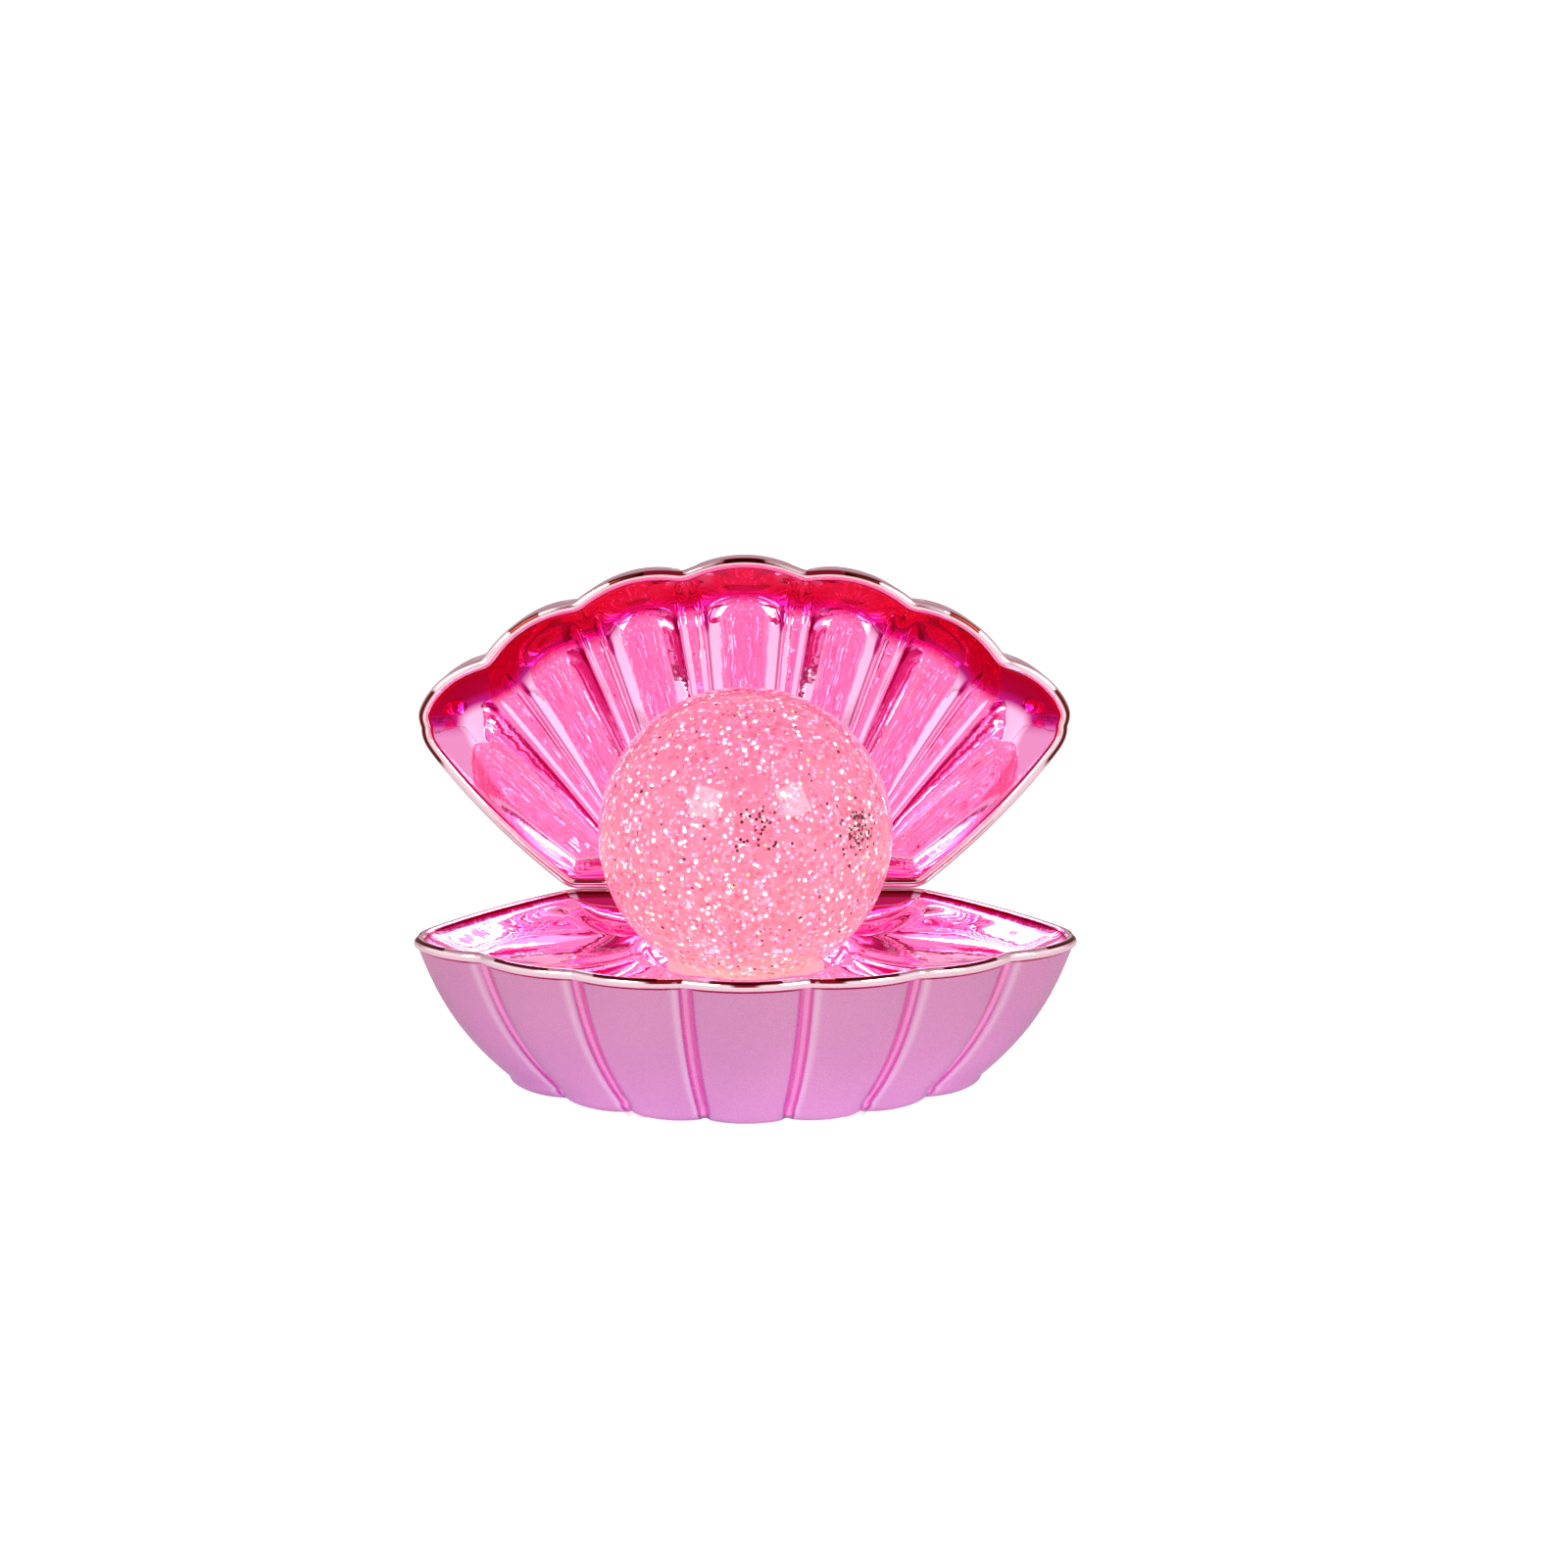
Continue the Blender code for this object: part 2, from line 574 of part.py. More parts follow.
def build_drive():
    lathe("motor_can", [(0.0, 16.6), (11.2, 16.6), (MOTOR_R, 17.3), (MOTOR_R, 22.6), (11.2, 23.3),
                        (3.0, 23.3), (3.0, 24.0), (1.1, 24.0), (1.1, 19.0), (0.0, 19.0)],
          "steel", axis_at(), 24)
    lathe("motor_shaft", [(0.0, 19.4), (0.75, 19.4), (0.75, 27.2), (0.0, 27.2)], "steel",
          axis_at(), 12)
    carrier = lathe("magnet_carrier", [(1.0, 25.0), (8.4, 25.0), (8.4, 28.2), (1.0, 28.2)],
                    "white_plastic", axis_at(), 28)
    pockets = []
    for side in (-1, 1):
        pockets.append(cylinder("pocket", 2.5, 26.0, 30.0, "white_plastic", axis_at(side * 5.2), 16))
    combine(carrier, pockets, "DIFFERENCE")
    for i, side in enumerate((-1, 1), 1):
        cylinder(f"rotor_magnet_{i}", 2.3, 26.2, 28.5, "magnet", axis_at(side * 5.2), 16)

    lathe("led_board", [(10.2, 24.6), (22.0, 24.6), (22.0, 26.0), (10.2, 26.0)], "circuit_board",
          axis_at(), 24)
    for i in range(4):
        turn = math.radians(45 + 90 * i)
        x, y = axis_at(15.4 * math.cos(turn), 15.4 * math.sin(turn))
        box(f"led_{i + 1}", (3.4, 3.4, 1.6), (x, y, 26.85), "led_lens", 0.3)

    frame = lathe("motor_frame", [(12.4, 16.6), (23.0, 16.6), (23.0, 18.4), (12.4, 18.4)],
                  "black_plastic", axis_at(), 24)
    posts = []
    for i in range(3):
        turn = math.radians(90 + 120 * i)
        posts.append(cylinder("post", 1.6, 17.4, 24.3, "black_plastic",
                              axis_at(20.0 * math.cos(turn), 20.0 * math.sin(turn)), 12))
    combine(frame, posts, "UNION")


def spring_path(x0, x1, v, turns=3, steps=8):
    path = []
    total = turns * steps
    for i in range(total + 1):
        t = i / total
        radius = 3.4 - 1.5 * t
        turn = 2.0 * math.pi * turns * t
        path.append((x0 + (x1 - x0) * t, -v + radius * math.cos(turn),
                     CELL_Z + radius * math.sin(turn)))
    return path


def along_x(name, profile, centre, slot, steps=18):
    """Turn an (r, x) profile about a line along X through (y, z)."""
    body = lathe(name, profile, slot, (0.0, 0.0), steps)
    body.data.transform(Matrix.Rotation(math.pi / 2.0, 4, "Y"))
    body.data.transform(Matrix.Translation(Vector((0.0, centre[0], centre[1])) * MM))
    return body


def build_cells():
    half = CELL_LEN / 2.0
    tray = box("battery_tray", (58.4, 35.0, 11.4), (0.0, -40.2, 10.45), "black_plastic")
    ear = box("ear", (8.0, 6.0, 7.0), (32.0, -40.2, 8.25), "black_plastic")
    hollow = box("hollow", (56.0, 32.8, 14.2), (0.0, -40.2, 7.9), "black_plastic")
    bore = cylinder("bore", 1.4, 3.0, 13.0, "black_plastic", (DOOR_SCREW_X, -40.2), 14)
    combine(tray, [ear], "UNION")
    combine(tray, [hollow, bore], "DIFFERENCE")
    for i, v in enumerate(CELL_V, 1):
        way = 1.0 if i != 2 else -1.0
        ends = [(0.0, -half), (4.6, -half), (CELL_R, -half + 0.6), (CELL_R, half - 1.4),
                (4.4, half - 0.9), (1.9, half - 0.9), (1.9, half + 0.3), (0.0, half + 0.3)]
        along_x(f"cell_{i}", [(r, x * way) for r, x in ends], (-v, CELL_Z), "cell_wrap")
        x_plate = -way * 27.4
        tube(f"cell_spring_{i}", spring_path(x_plate + way * 0.85, -way * (half + 0.45), v), 0.32,
             "spring_steel", 4)
    plate_x = 27.6
    pairs = (("contact_plate_1", -1, (CELL_V[0],)), ("contact_plate_2", 1, (CELL_V[0], CELL_V[1])),
             ("contact_plate_3", -1, (CELL_V[1], CELL_V[2])), ("contact_plate_4", 1, (CELL_V[2],)))
    for name, side, rows in pairs:
        middle = sum(rows) / len(rows)
        box(name, (0.4, 9.0 + 10.8 * (len(rows) - 1), 9.0), (side * plate_x, -middle, CELL_Z),
            "spring_steel")


def build_door():
    """Battery door in the underside with its screw; returns the cutter for the opening."""
    left, right, rear, front = DOOR
    middle = ((left + right) / 2.0, -(rear + front) / 2.0)
    opening = box("opening", (right - left, front - rear, 8.0), (*middle, 3.0), "x")
    door = box("battery_door", (right - left - 0.7, front - rear - 0.7, 1.9), (*middle, 3.05),
               "satin_pink", 0.3)
    spot = (DOOR_SCREW_X, -40.2)
    hole = cylinder("hole", 1.5, 0.0, 8.0, "x", spot, 14)
    sink = cylinder("sink", 2.7, 0.0, 3.1, "x", spot, 14)
    combine(door, [hole, sink], "DIFFERENCE")
    lathe("door_screw", [(0.0, 2.3), (2.3, 2.3), (2.3, 3.0), (1.15, 3.0), (1.15, 10.4), (0.0, 11.2)],
          "steel", spot, 14)
    return opening


def build_small_parts(shell, lid, liner, bowl):
    cuts = [build_door()]
    adds = []
    bores = []
    for i, (u, v) in enumerate(POSTS, 1):
        spot = (u, -v)
        cuts.append(cylinder("hole", 1.6, 0.0, 8.0, "x", spot, 14))
        cuts.append(cylinder("sink", 3.1, 0.0, 3.45, "x", spot, 14))
        under = liner.ray_cast(Vector((*spot, 0.0)) * MM, Vector((0.0, 0.0, 1.0)))[1].z / MM
        adds.append(cylinder("post", 3.0, 6.0, under + 0.8, "x", spot, 14))
        bores.append(cylinder("bore", 1.4, 4.0, 16.0, "x", spot, 14))
        lathe(f"case_screw_{i}", [(0.0, 2.4), (2.7, 2.4), (2.7, 3.3), (1.15, 3.3), (1.15, 13.0),
                                  (0.0, 14.2)], "steel", spot, 14)
    combine(liner, adds, "UNION")
    combine(liner, bores, "DIFFERENCE")

    cuts.append(box("slot", (4.6, 9.6, 8.0), (SWITCH[0], -SWITCH[1], 3.0), "x"))
    combine(shell, cuts, "DIFFERENCE")
    box("switch_body", (8.6, 14.0, 6.0), (SWITCH[0], -SWITCH[1], 7.9), "black_plastic", 0.3)
    box("switch_knob", (3.8, 4.2, 3.6), (SWITCH[0], -SWITCH[1] + 2.0, 2.8), "black_plastic", 0.3)

    for i, (u, v) in enumerate(FEET, 1):
        lathe(f"foot_{i}", [(0.0, 0.0), (3.7, 0.0), (4.3, 0.6), (4.3, 1.95), (0.0, 1.95)],
              "clear_rubber", (u, -v), 14)

    lid_adds = []
    lid_bores = []
    lid_cuts = []
    for i, (u, v) in enumerate(LID_POSTS, 1):
        behind = Vector(lid_point(u, v, LID_DEPTH + 5.0)) * MM
        back = Vector(lid_point(u, v, 0.0)) * MM - behind
        struck = bowl.ray_cast(behind, back.normalized())[1]
        start = LID_DEPTH + 5.0 - (struck - behind).length / MM
        lid_adds.append(lid_drill("post", 2.8, u, v, start - 0.9, LID_DEPTH - SHELL_WALL - 0.9))
        lid_bores.append(lid_drill("bore", 1.3, u, v, LID_DEPTH - 9.0, LID_DEPTH + 2.0))
        lid_cuts.append(lid_drill("hole", 1.6, u, v, LID_DEPTH - 4.0, LID_DEPTH + 3.0))
        lid_cuts.append(lid_drill("sink", 3.0, u, v, LID_DEPTH - 1.1, LID_DEPTH + 3.0))

        def screw_ring(radius, w, u=u, v=v):
            ring = []
            for j in range(14):
                turn = 2.0 * math.pi * j / 14
                ring.append(lid_point(u + radius * math.cos(turn), v + radius * math.sin(turn), w))
            return ring

        stepped_pin(f"lid_screw_{i}", screw_ring,
                    ((2.5, LID_DEPTH - 0.2), (2.5, LID_DEPTH - 0.85), (1.1, LID_DEPTH - 0.85),
                     (1.1, LID_DEPTH - 7.5), (0.4, LID_DEPTH - 8.4)), "steel")
    combine(bowl, lid_adds, "UNION")
    combine(bowl, lid_bores, "DIFFERENCE")

    # angle bracket in the corner behind the base and below the lid
    section = bracket_section()
    rings = [[(x, y, z) for y, z in section] for x in (-30.0, 30.0)]
    bracket = loft("rear_bracket", rings, "painted_bracket", smooth=False)
    bracket_cuts = []
    for i, side in enumerate((-1, 1), 1):
        x = side * 20.0
        for name, start, end in bracket_pins(x):
            hole = tube("hole", (start, end), 1.6, "x", 12)
            bracket_cuts.append(hole)
            twin = tube("hole", (start, end), 1.6, "x", 12)
            if name == "base":
                combine(shell, [twin], "DIFFERENCE")
            else:
                lid_cuts.append(twin)
            screw_between(f"bracket_screw_{name}_{i}", start, end)
    combine(bracket, bracket_cuts, "DIFFERENCE")
    combine(lid, lid_cuts, "DIFFERENCE")

    box("control_board", (13.0, 18.0, 1.2), (-38.5, -33.0, 12.0), "circuit_board")
    box("control_chip", (6.0, 8.0, 1.6), (-38.5, -33.0, 13.5), "black_plastic")


def wall_line(depth, taper, w):
    """Inset of the hinge-side wall of a valve at depth w."""
    straight = depth - FOOT_ROUND
    return taper[1] * taper_share(min(w, straight) / straight) + 0.12


def bracket_section():
    """Closed (y, z) section following the base wall downwards and the lid wall backwards."""
    plate = 1.8
    down = []
    for w in (6.0, 18.0, 30.0):
        down.append((0.35 - wall_line(BASE_DEPTH, BASE_TAPER, w), RIM_Z - w))
    back = []
    for w in (9.0, 16.0, 24.0):
        y, z = lid_point(0.0, wall_line(LID_DEPTH, LID_TAPER, w) - 0.35, w)[1:]
        back.append((y, z))
    inner = [(y + plate, z) for y, z in down]
    under = [(y, z - plate) for y, z in back]
    heel = (down[0][0] + 0.2, down[0][1] + 2.2)
    section = list(reversed(down)) + [heel] + back + list(reversed(under))
    section += [(inner[0][0] + 1.2, under[0][1] - 1.2)] + inner[1:]
    return section


def bracket_pins(x):
    """Screw lines of the bracket: (which valve, inside end, outside end)."""
    w = 24.0
    y = -wall_line(BASE_DEPTH, BASE_TAPER, w)
    base = ("base", (x, y - 7.0, RIM_Z - w), (x, y + 4.6, RIM_Z - w))
    w = 20.0
    ly, lz = lid_point(0.0, wall_line(LID_DEPTH, LID_TAPER, w), w)[1:]
    lid = ("lid", (x, ly, lz + 7.0), (x, ly, lz - 4.6))
    return (base, lid)


def screw_between(name, start, end):
    """A screw whose head sits at the outside end of its hole line."""
    start, end = Vector(start), Vector(end)
    along = (end - start).normalized()
    side = along.orthogonal().normalized()
    other = along.cross(side)
    length = (end - start).length
    rings = []
    for radius, t in ((0.4, 0.4), (1.15, 1.4), (1.15, length - 1.75), (2.6, length - 1.75),
                      (2.6, length - 0.9), (1.6, length - 0.3)):
        ring = []
        for j in range(12):
            turn = 2.0 * math.pi * j / 12
            ring.append(start + along * t + side * (radius * math.cos(turn))
                        + other * (radius * math.sin(turn)))
        rings.append(ring)
    return loft(name, rings, "steel", smooth=False)


def build_wires():
    """Insulated leads between the cells, the switch, the control board and the light board."""
    tube("lead_red", smooth_path([(30.4, -51.0, 13.6), (32.6, -48.0, 15.6), (36.6, -43.6, 15.0),
                                  (41.0, -38.0, 12.2)]), 0.55, "lead_red")
    tube("lead_black", smooth_path([(-30.4, -29.4, 13.0), (-31.6, -28.4, 15.0), (-33.4, -27.6, 15.2),
                                    (-34.6, -27.2, 13.4)]), 0.55, "lead_black")


def group_pieces():
    """Give every piece its own origin and hang it on the empty of the group it belongs to."""
    pieces = [body for body in bpy.data.objects if body.type == "MESH"]
    owner = {name: group for group, (_, names) in MOVING.items() for name in names}
    spots = {"case": (0.0, 0.0, 0.0)}
    spots.update({group: place for group, (place, _) in MOVING.items()})
    hubs = {}
    for group, spot in spots.items():
        hub = bpy.data.objects.new(group + "_axis", None)
        hub.location = Vector((spot[0], spot[1] + FRAME_Y, spot[2])) * MM
        bpy.context.scene.collection.objects.link(hub)
        hubs[group] = hub
    for body in pieces:
        hub = hubs[owner.get(body.name, "case")]
        corners = [Vector(corner) for corner in body.bound_box]
        centre = (corners[0] + corners[6]) / 2.0
        body.data.transform(Matrix.Translation(-centre))
        body.data.set_sharp_from_angle(angle=math.radians(35.0))
        body.parent = hub
        body.location = centre + Vector((0.0, FRAME_Y * MM, 0.0)) - hub.location


def main():
    clear_scene()
    shell, lid, liner, bowl = build_valves()
    build_globe()
    build_drive()
    build_cells()
    build_small_parts(shell, lid, liner, bowl)
    build_wires()
    group_pieces()


main()
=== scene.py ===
"""Looks of the clam-shell glitter-globe lamp: valve surfaces, globe, glitter, finishes, studio."""
import json
import math

import bmesh
import bpy
import numpy as np
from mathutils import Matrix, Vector


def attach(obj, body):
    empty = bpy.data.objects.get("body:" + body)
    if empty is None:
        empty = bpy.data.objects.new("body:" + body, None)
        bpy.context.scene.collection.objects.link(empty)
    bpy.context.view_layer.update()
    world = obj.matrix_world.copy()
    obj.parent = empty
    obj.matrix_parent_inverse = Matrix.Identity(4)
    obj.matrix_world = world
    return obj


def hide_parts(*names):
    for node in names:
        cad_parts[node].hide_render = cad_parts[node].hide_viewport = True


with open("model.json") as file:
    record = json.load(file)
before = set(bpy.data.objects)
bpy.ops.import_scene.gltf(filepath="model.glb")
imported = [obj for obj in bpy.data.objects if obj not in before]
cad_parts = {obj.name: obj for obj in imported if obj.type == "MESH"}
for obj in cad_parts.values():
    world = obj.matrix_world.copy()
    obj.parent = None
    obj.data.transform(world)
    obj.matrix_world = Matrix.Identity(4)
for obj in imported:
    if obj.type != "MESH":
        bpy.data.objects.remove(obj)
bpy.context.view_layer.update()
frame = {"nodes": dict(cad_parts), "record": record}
NODES = frame["nodes"]
RNG = np.random.default_rng(11)
MM = 0.001

# ------------------------------------------------------------------------------------------------
# dimensions (mm): the valve plane is (u, v, w) as in the CAD
# ------------------------------------------------------------------------------------------------
FRAME_Y = 26.99                # hinge edge of the valves, from the frame's origin
RIM_Z = 43.0
BEAD = 1.5                     # radius of the rolled rim
LIP = 2.0 * BEAD - 0.2         # how far inside the outline the lining starts
BASE_DEPTH = 41.0
LID_DEPTH = 33.0
SHELL_WALL = 1.9
LINER_WALL = 1.6
FOOT_ROUND = 3.2
FOOT_BULGE = 1.5
LID_TILT = math.radians(3.5)
LID_Y = -3.0
LID_Z = RIM_Z + 0.2
BED_DEPTH = 18.0               # lid bed: a reflector dish focused on the globe
BED_V = 8.8
BED_LEAN = 0.207
BED_FOCUS = 66.0
BED_LEAST = 2.5
KNOT_SPREAD, KNOT_V = 0.88, 4.6    # where the lid's channels gather at the hinge edge
FLUTE = 4.1                    # height of the lid's flutes
DISH_FLUTE = 4.6
DISH_DEPTH = 8.0
GROOVE = 1.5                   # depth of the grooves between the outer lobes
BASE_TAPER = (0.70, 6.0, 0.82)
LID_TAPER = (0.92, 5.0, 0.87)
BACK_PATCH = (-9.0, 9.0, 31.0, 49.0)    # middle of a closed flat back: left, right, rear, front
AXIS_V = 43.0
GLOBE_R = 38.0
CORE_R = 34.4
NECK_R = 11.0
GLOBE_Z = RIM_Z + 26.5
GLOBE_FOOT_Z, CORE_FOOT_Z = 31.0, 41.4
SEAT_R = 27.0
SEAT_HOLE = 18.6
HINGE_HALF = 46.5
CORNER = (87.4, 43.2)
NOTCHES = ((16.2, 85.1), (44.5, 77.1), (68.6, 61.9))
CENTRE_BULGE, LOBE_BULGE, END_BULGE, SIDE_BULGE = 3.7, 3.3, 3.9, 2.2
DOOR = (-30.0, 36.2, 22.6, 57.6)        # left, right, rear, front
SWITCH_SLOT = (39.2, 43.8, 31.2, 40.8)
SLOT_TOP_Z = 7.0
POSTS = ((-39.0, 48.0), (39.0, 48.0), (-23.0, 12.6), (23.0, 12.6))
SINK_R, SINK_TOP_Z = 3.1, 3.45
BEAD_TURNS = (-38, -20, 0, 15, 30, 45, 60, 75, 90, 105, 120, 135)    # degrees round the bead
FINE = 10      # outline points per CAD outline step
GLOBE_C = Vector((0.0, -AXIS_V + FRAME_Y, GLOBE_Z)) * MM


def smoothstep(t):
    """Smooth 0..1 step, flat at both ends."""
    t = np.clip(t, 0.0, 1.0)
    return t * t * (3.0 - 2.0 * t)


def bowed(start, end, bulge, steps):
    """Points from start towards end on a parabola that bows outward by bulge."""
    start, end = np.array(start), np.array(end)
    along = end - start
    outward = np.array((along[1], -along[0])) / np.linalg.norm(along)
    t = np.arange(steps)[:, None] / steps
    return start + along * t + outward * (4.0 * bulge * t * (1.0 - t))


def outline(notch_soft=0.75, corner_soft=5.0):
    """Rim outline, fan position (-1..1) and flute phase (0 ridge, 0.5 channel) of each point."""
    right = [np.array(n) for n in NOTCHES]
    left = [np.array((-n[0], n[1])) for n in NOTCHES]
    hinge_r, hinge_l = np.array((HINGE_HALF, 0.0)), np.array((-HINGE_HALF, 0.0))
    corner_r, corner_l = np.array(CORNER), np.array((-CORNER[0], CORNER[1]))
    stops = [hinge_l, hinge_r, corner_r, right[2], right[1], right[0],
             left[0], left[1], left[2], corner_l, hinge_l]
    kinds = (("hinge", 6), ("side", 5), ("end", 6), ("lobe", 7), ("lobe", 7), ("centre", 7),
             ("lobe", 7), ("lobe", 7), ("end", 6), ("side", 5))
    bulge = {"hinge": 0.0, "side": SIDE_BULGE, "end": END_BULGE, "lobe": LOBE_BULGE,
             "centre": CENTRE_BULGE}
    fan = [-1.0, 1.0, 0.93, 5 / 7, 3 / 7, 1 / 7, -1 / 7, -3 / 7, -5 / 7, -0.93, -1.0]
    phase = [(0.0, 0.0), (0.0, 0.42), (0.42, 1.0), (0.0, 1.0), (0.0, 1.0), (0.0, 1.0),
             (0.0, 1.0), (0.0, 1.0), (0.0, 0.58), (0.58, 1.0)]
    soft = [1.6, 1.6, corner_soft] + [notch_soft] * 6 + [corner_soft, 1.6]
    fine = 6
    dense, marks = [], []
    for i, (kind, steps) in enumerate(kinds):
        steps = steps * FINE
        dense.append(bowed(stops[i], stops[i + 1], bulge[kind], steps * fine))
        for j in range(steps):
            t = j / steps
            near = max(0.0, 1.0 - 3.0 * t), max(0.0, 3.0 * t - 2.0)
            width = 0.6 + (soft[i] - 0.6) * near[0] + (soft[i + 1] - 0.6) * near[1]
            marks.append((fan[i] + (fan[i + 1] - fan[i]) * t,
                          phase[i][0] + (phase[i][1] - phase[i][0]) * t, width))
    dense = np.vstack(dense)
    step = np.linalg.norm(np.roll(dense, -1, axis=0) - dense, axis=1)
    run = np.concatenate(([0.0], np.cumsum(step)))
    total, run = run[-1], run[:-1]
    points = []
    for k, (_, _, width) in enumerate(marks):
        away = np.abs(run - run[k * fine])
        away = np.minimum(away, total - away)
        weight = np.exp(-0.5 * (away / width) ** 2) * (step + np.roll(step, 1))
        points.append((dense * weight[:, None]).sum(axis=0) / weight.sum())
    marks = np.array(marks)
    return np.array(points), marks[:, 0], marks[:, 1]


def inward(points):
    """Unit directions into the outline at each of its points."""
    along = np.roll(points, -1, axis=0) - np.roll(points, 1, axis=0)
    along /= np.linalg.norm(along, axis=1)[:, None]
    return np.stack([-along[:, 1], along[:, 0]], axis=1)


RIM, FAN, PHASE = outline(corner_soft=6.2)
RIM_IN = inward(RIM)
ACROSS = np.abs(2.0 * PHASE - 1.0)      # 0 along a channel, 1 on the ridges beside it
CHANNEL = 1.0 - ACROSS ** 2.6
FLUTES = 1.0 - 0.98 * ACROSS ** 2 + 0.55 * smoothstep((ACROSS - 0.80) / 0.20)


def groove_lines():
    """How far each outline point is pressed in between lobes, and where the painted pale highlight
    runs beside it.
    """
    step = np.linalg.norm(np.roll(RIM, -1, axis=0) - RIM, axis=1)
    run = np.concatenate(([0.0], np.cumsum(step)))[:-1]
    press, roll = np.zeros(len(RIM)), np.zeros(len(RIM))
    for u, v in NOTCHES:
        for side in (-1.0, 1.0):
            mark = run[np.linalg.norm(RIM - np.array((side * u, v)), axis=1).argmin()]
            away = (run - mark) * side
            press = np.maximum(press, np.exp(-(away / np.where(away > 0.0, 2.2, 0.9)) ** 2))
            # the painted pale highlight sits just outside each groove
            roll = np.maximum(roll, np.exp(-((away + 2.4) / 1.0) ** 2))
    return press, roll


PRESS, PAINTED_HIGHLIGHT = groove_lines()


def inset(distance):
    """The outline moved inward."""
    return RIM + RIM_IN * np.asarray(distance).reshape(-1, 1)


def base_place(points, depth):
    depth = np.broadcast_to(depth, len(points))
    return np.stack([points[:, 0], -points[:, 1] + FRAME_Y, RIM_Z - depth], axis=1)


def lid_place(points, depth):
    depth = np.broadcast_to(depth, len(points))
    lean, stand = math.sin(LID_TILT), math.cos(LID_TILT)
    return np.stack([points[:, 0], LID_Y + depth * stand + points[:, 1] * lean + FRAME_Y,
                     LID_Z + points[:, 1] * stand - depth * lean], axis=1)


# ------------------------------------------------------------------------------------------------
# mesh helpers
# ------------------------------------------------------------------------------------------------
def piece(name, verts, faces, body="case", slot=None, replaces=(), shade=None):
    """A new mesh piece from millimetre points, riding on a CAD body; shade is kept per vertex."""
    mesh = bpy.data.meshes.new(name)
    mesh.from_pydata([tuple(v) for v in np.asarray(verts, float) * MM], [], faces)
    if shade is not None:
        mesh.attributes.new("shade", "FLOAT", "POINT").data.foreach_set("value", shade)
    bm = bmesh.new()
    bm.from_mesh(mesh)
    bmesh.ops.remove_doubles(bm, verts=bm.verts, dist=1e-7)
    bmesh.ops.recalc_face_normals(bm, faces=bm.faces)
    bm.to_mesh(mesh)
    bm.free()
    mesh.polygons.foreach_set("use_smooth", [True] * len(mesh.polygons))
    obj = bpy.data.objects.new(name, mesh)
    bpy.context.scene.collection.objects.link(obj)
    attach(obj, body)
    if replaces:
        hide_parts(*replaces)
    return obj


def loft(name, rings, cap=True, **rest):
    """Skin over rings of equal length: capped at both ends, or closed back on itself."""
    count = len(rings[0])
    verts = np.vstack(rings)
    faces = []
    for i in range(len(rings) - 1 + (0 if cap else 1)):
        a, b = i * count, ((i + 1) % len(rings)) * count
        for j in range(count):
            k = (j + 1) % count
            faces.append((a + j, a + k, b + k, b + j))
    if cap:
        faces.append(tuple(range(count)))
        faces.append(tuple(range((len(rings) - 1) * count, len(rings) * count)))
    return piece(name, verts, faces, **rest)


def lathe(name, profile, steps, **rest):
    """Turn a closed (r, z) profile, in mm, about the globe's vertical axis."""
    axis = (0.0, -AXIS_V + FRAME_Y)
    verts, index = [], []
    for r, z in profile:
        if r < 1e-6:
            index.append([len(verts)] * steps)
            verts.append((axis[0], axis[1], z))
            continue
        index.append(list(range(len(verts), len(verts) + steps)))
        for j in range(steps):
            turn = 2.0 * math.pi * j / steps
            verts.append((axis[0] + r * math.cos(turn), axis[1] + r * math.sin(turn), z))
    faces = []
    for i, here in enumerate(index):
        there = index[(i + 1) % len(profile)]
        for j in range(steps):
            k = (j + 1) % steps
            corners = []
            for vert in (here[j], here[k], there[k], there[j]):
                if vert not in corners:
                    corners.append(vert)
            if len(corners) > 2:
                faces.append(tuple(corners))
    return piece(name, verts, faces, **rest)


def cutter(rings):
    """A closed helper body between rings of millimetre points."""
    count = len(rings[0])
    verts = [tuple(np.asarray(point, float) * MM) for ring in rings for point in ring]
    faces = [tuple(range(count))[::-1], tuple(range(count, 2 * count))]
    for j in range(count):
        k = (j + 1) % count
        faces.append((j, k, count + k, count + j))
    mesh = bpy.data.meshes.new("cutter")
    mesh.from_pydata(verts, [], faces)
    bm = bmesh.new()
    bm.from_mesh(mesh)
    bmesh.ops.recalc_face_normals(bm, faces=bm.faces)
    bm.to_mesh(mesh)
    bm.free()
    body = bpy.data.objects.new("cutter", mesh)
    bpy.context.scene.collection.objects.link(body)
    return body


def round_ring(place, u, v, radius, depth, steps=32):
    """A circle in the valve plane, placed at a depth."""
    turn = np.arange(steps) * 2.0 * math.pi / steps
    return place(np.stack([u + radius * np.cos(turn), v + radius * np.sin(turn)], axis=1), depth)


def carve(skin, cutters):
    """Cut the openings out of a finished skin, then drop the helpers."""
    for body in cutters:
        step = skin.modifiers.new("cut", "BOOLEAN")
        step.operation = "DIFFERENCE"
        step.solver = "EXACT"
        step.object = body
    bpy.context.view_layer.update()
    graph = bpy.context.evaluated_depsgraph_get()
    result = bpy.data.meshes.new_from_object(skin.evaluated_get(graph))
    skin.modifiers.clear()
    skin.data = result
    result.set_sharp_from_angle(angle=math.radians(55.0))
    for body in cutters:
        bpy.data.objects.remove(body, do_unlink=True)


# ------------------------------------------------------------------------------------------------
# materials
# ------------------------------------------------------------------------------------------------
def finish_of(name, colour, rough, metal=0.0, **inputs):
    """A Principled material; extra sockets by name with spaces as underscores."""
    mat = bpy.data.materials.new(name)
    mat.use_nodes = True
    shader = mat.node_tree.nodes["Principled BSDF"]
    shader.inputs["Base Color"].default_value = (*colour, 1.0)
    shader.inputs["Roughness"].default_value = rough
    shader.inputs["Metallic"].default_value = metal
    for key, value in inputs.items():
        shader.inputs[key.replace("_", " ")].default_value = value
    return mat


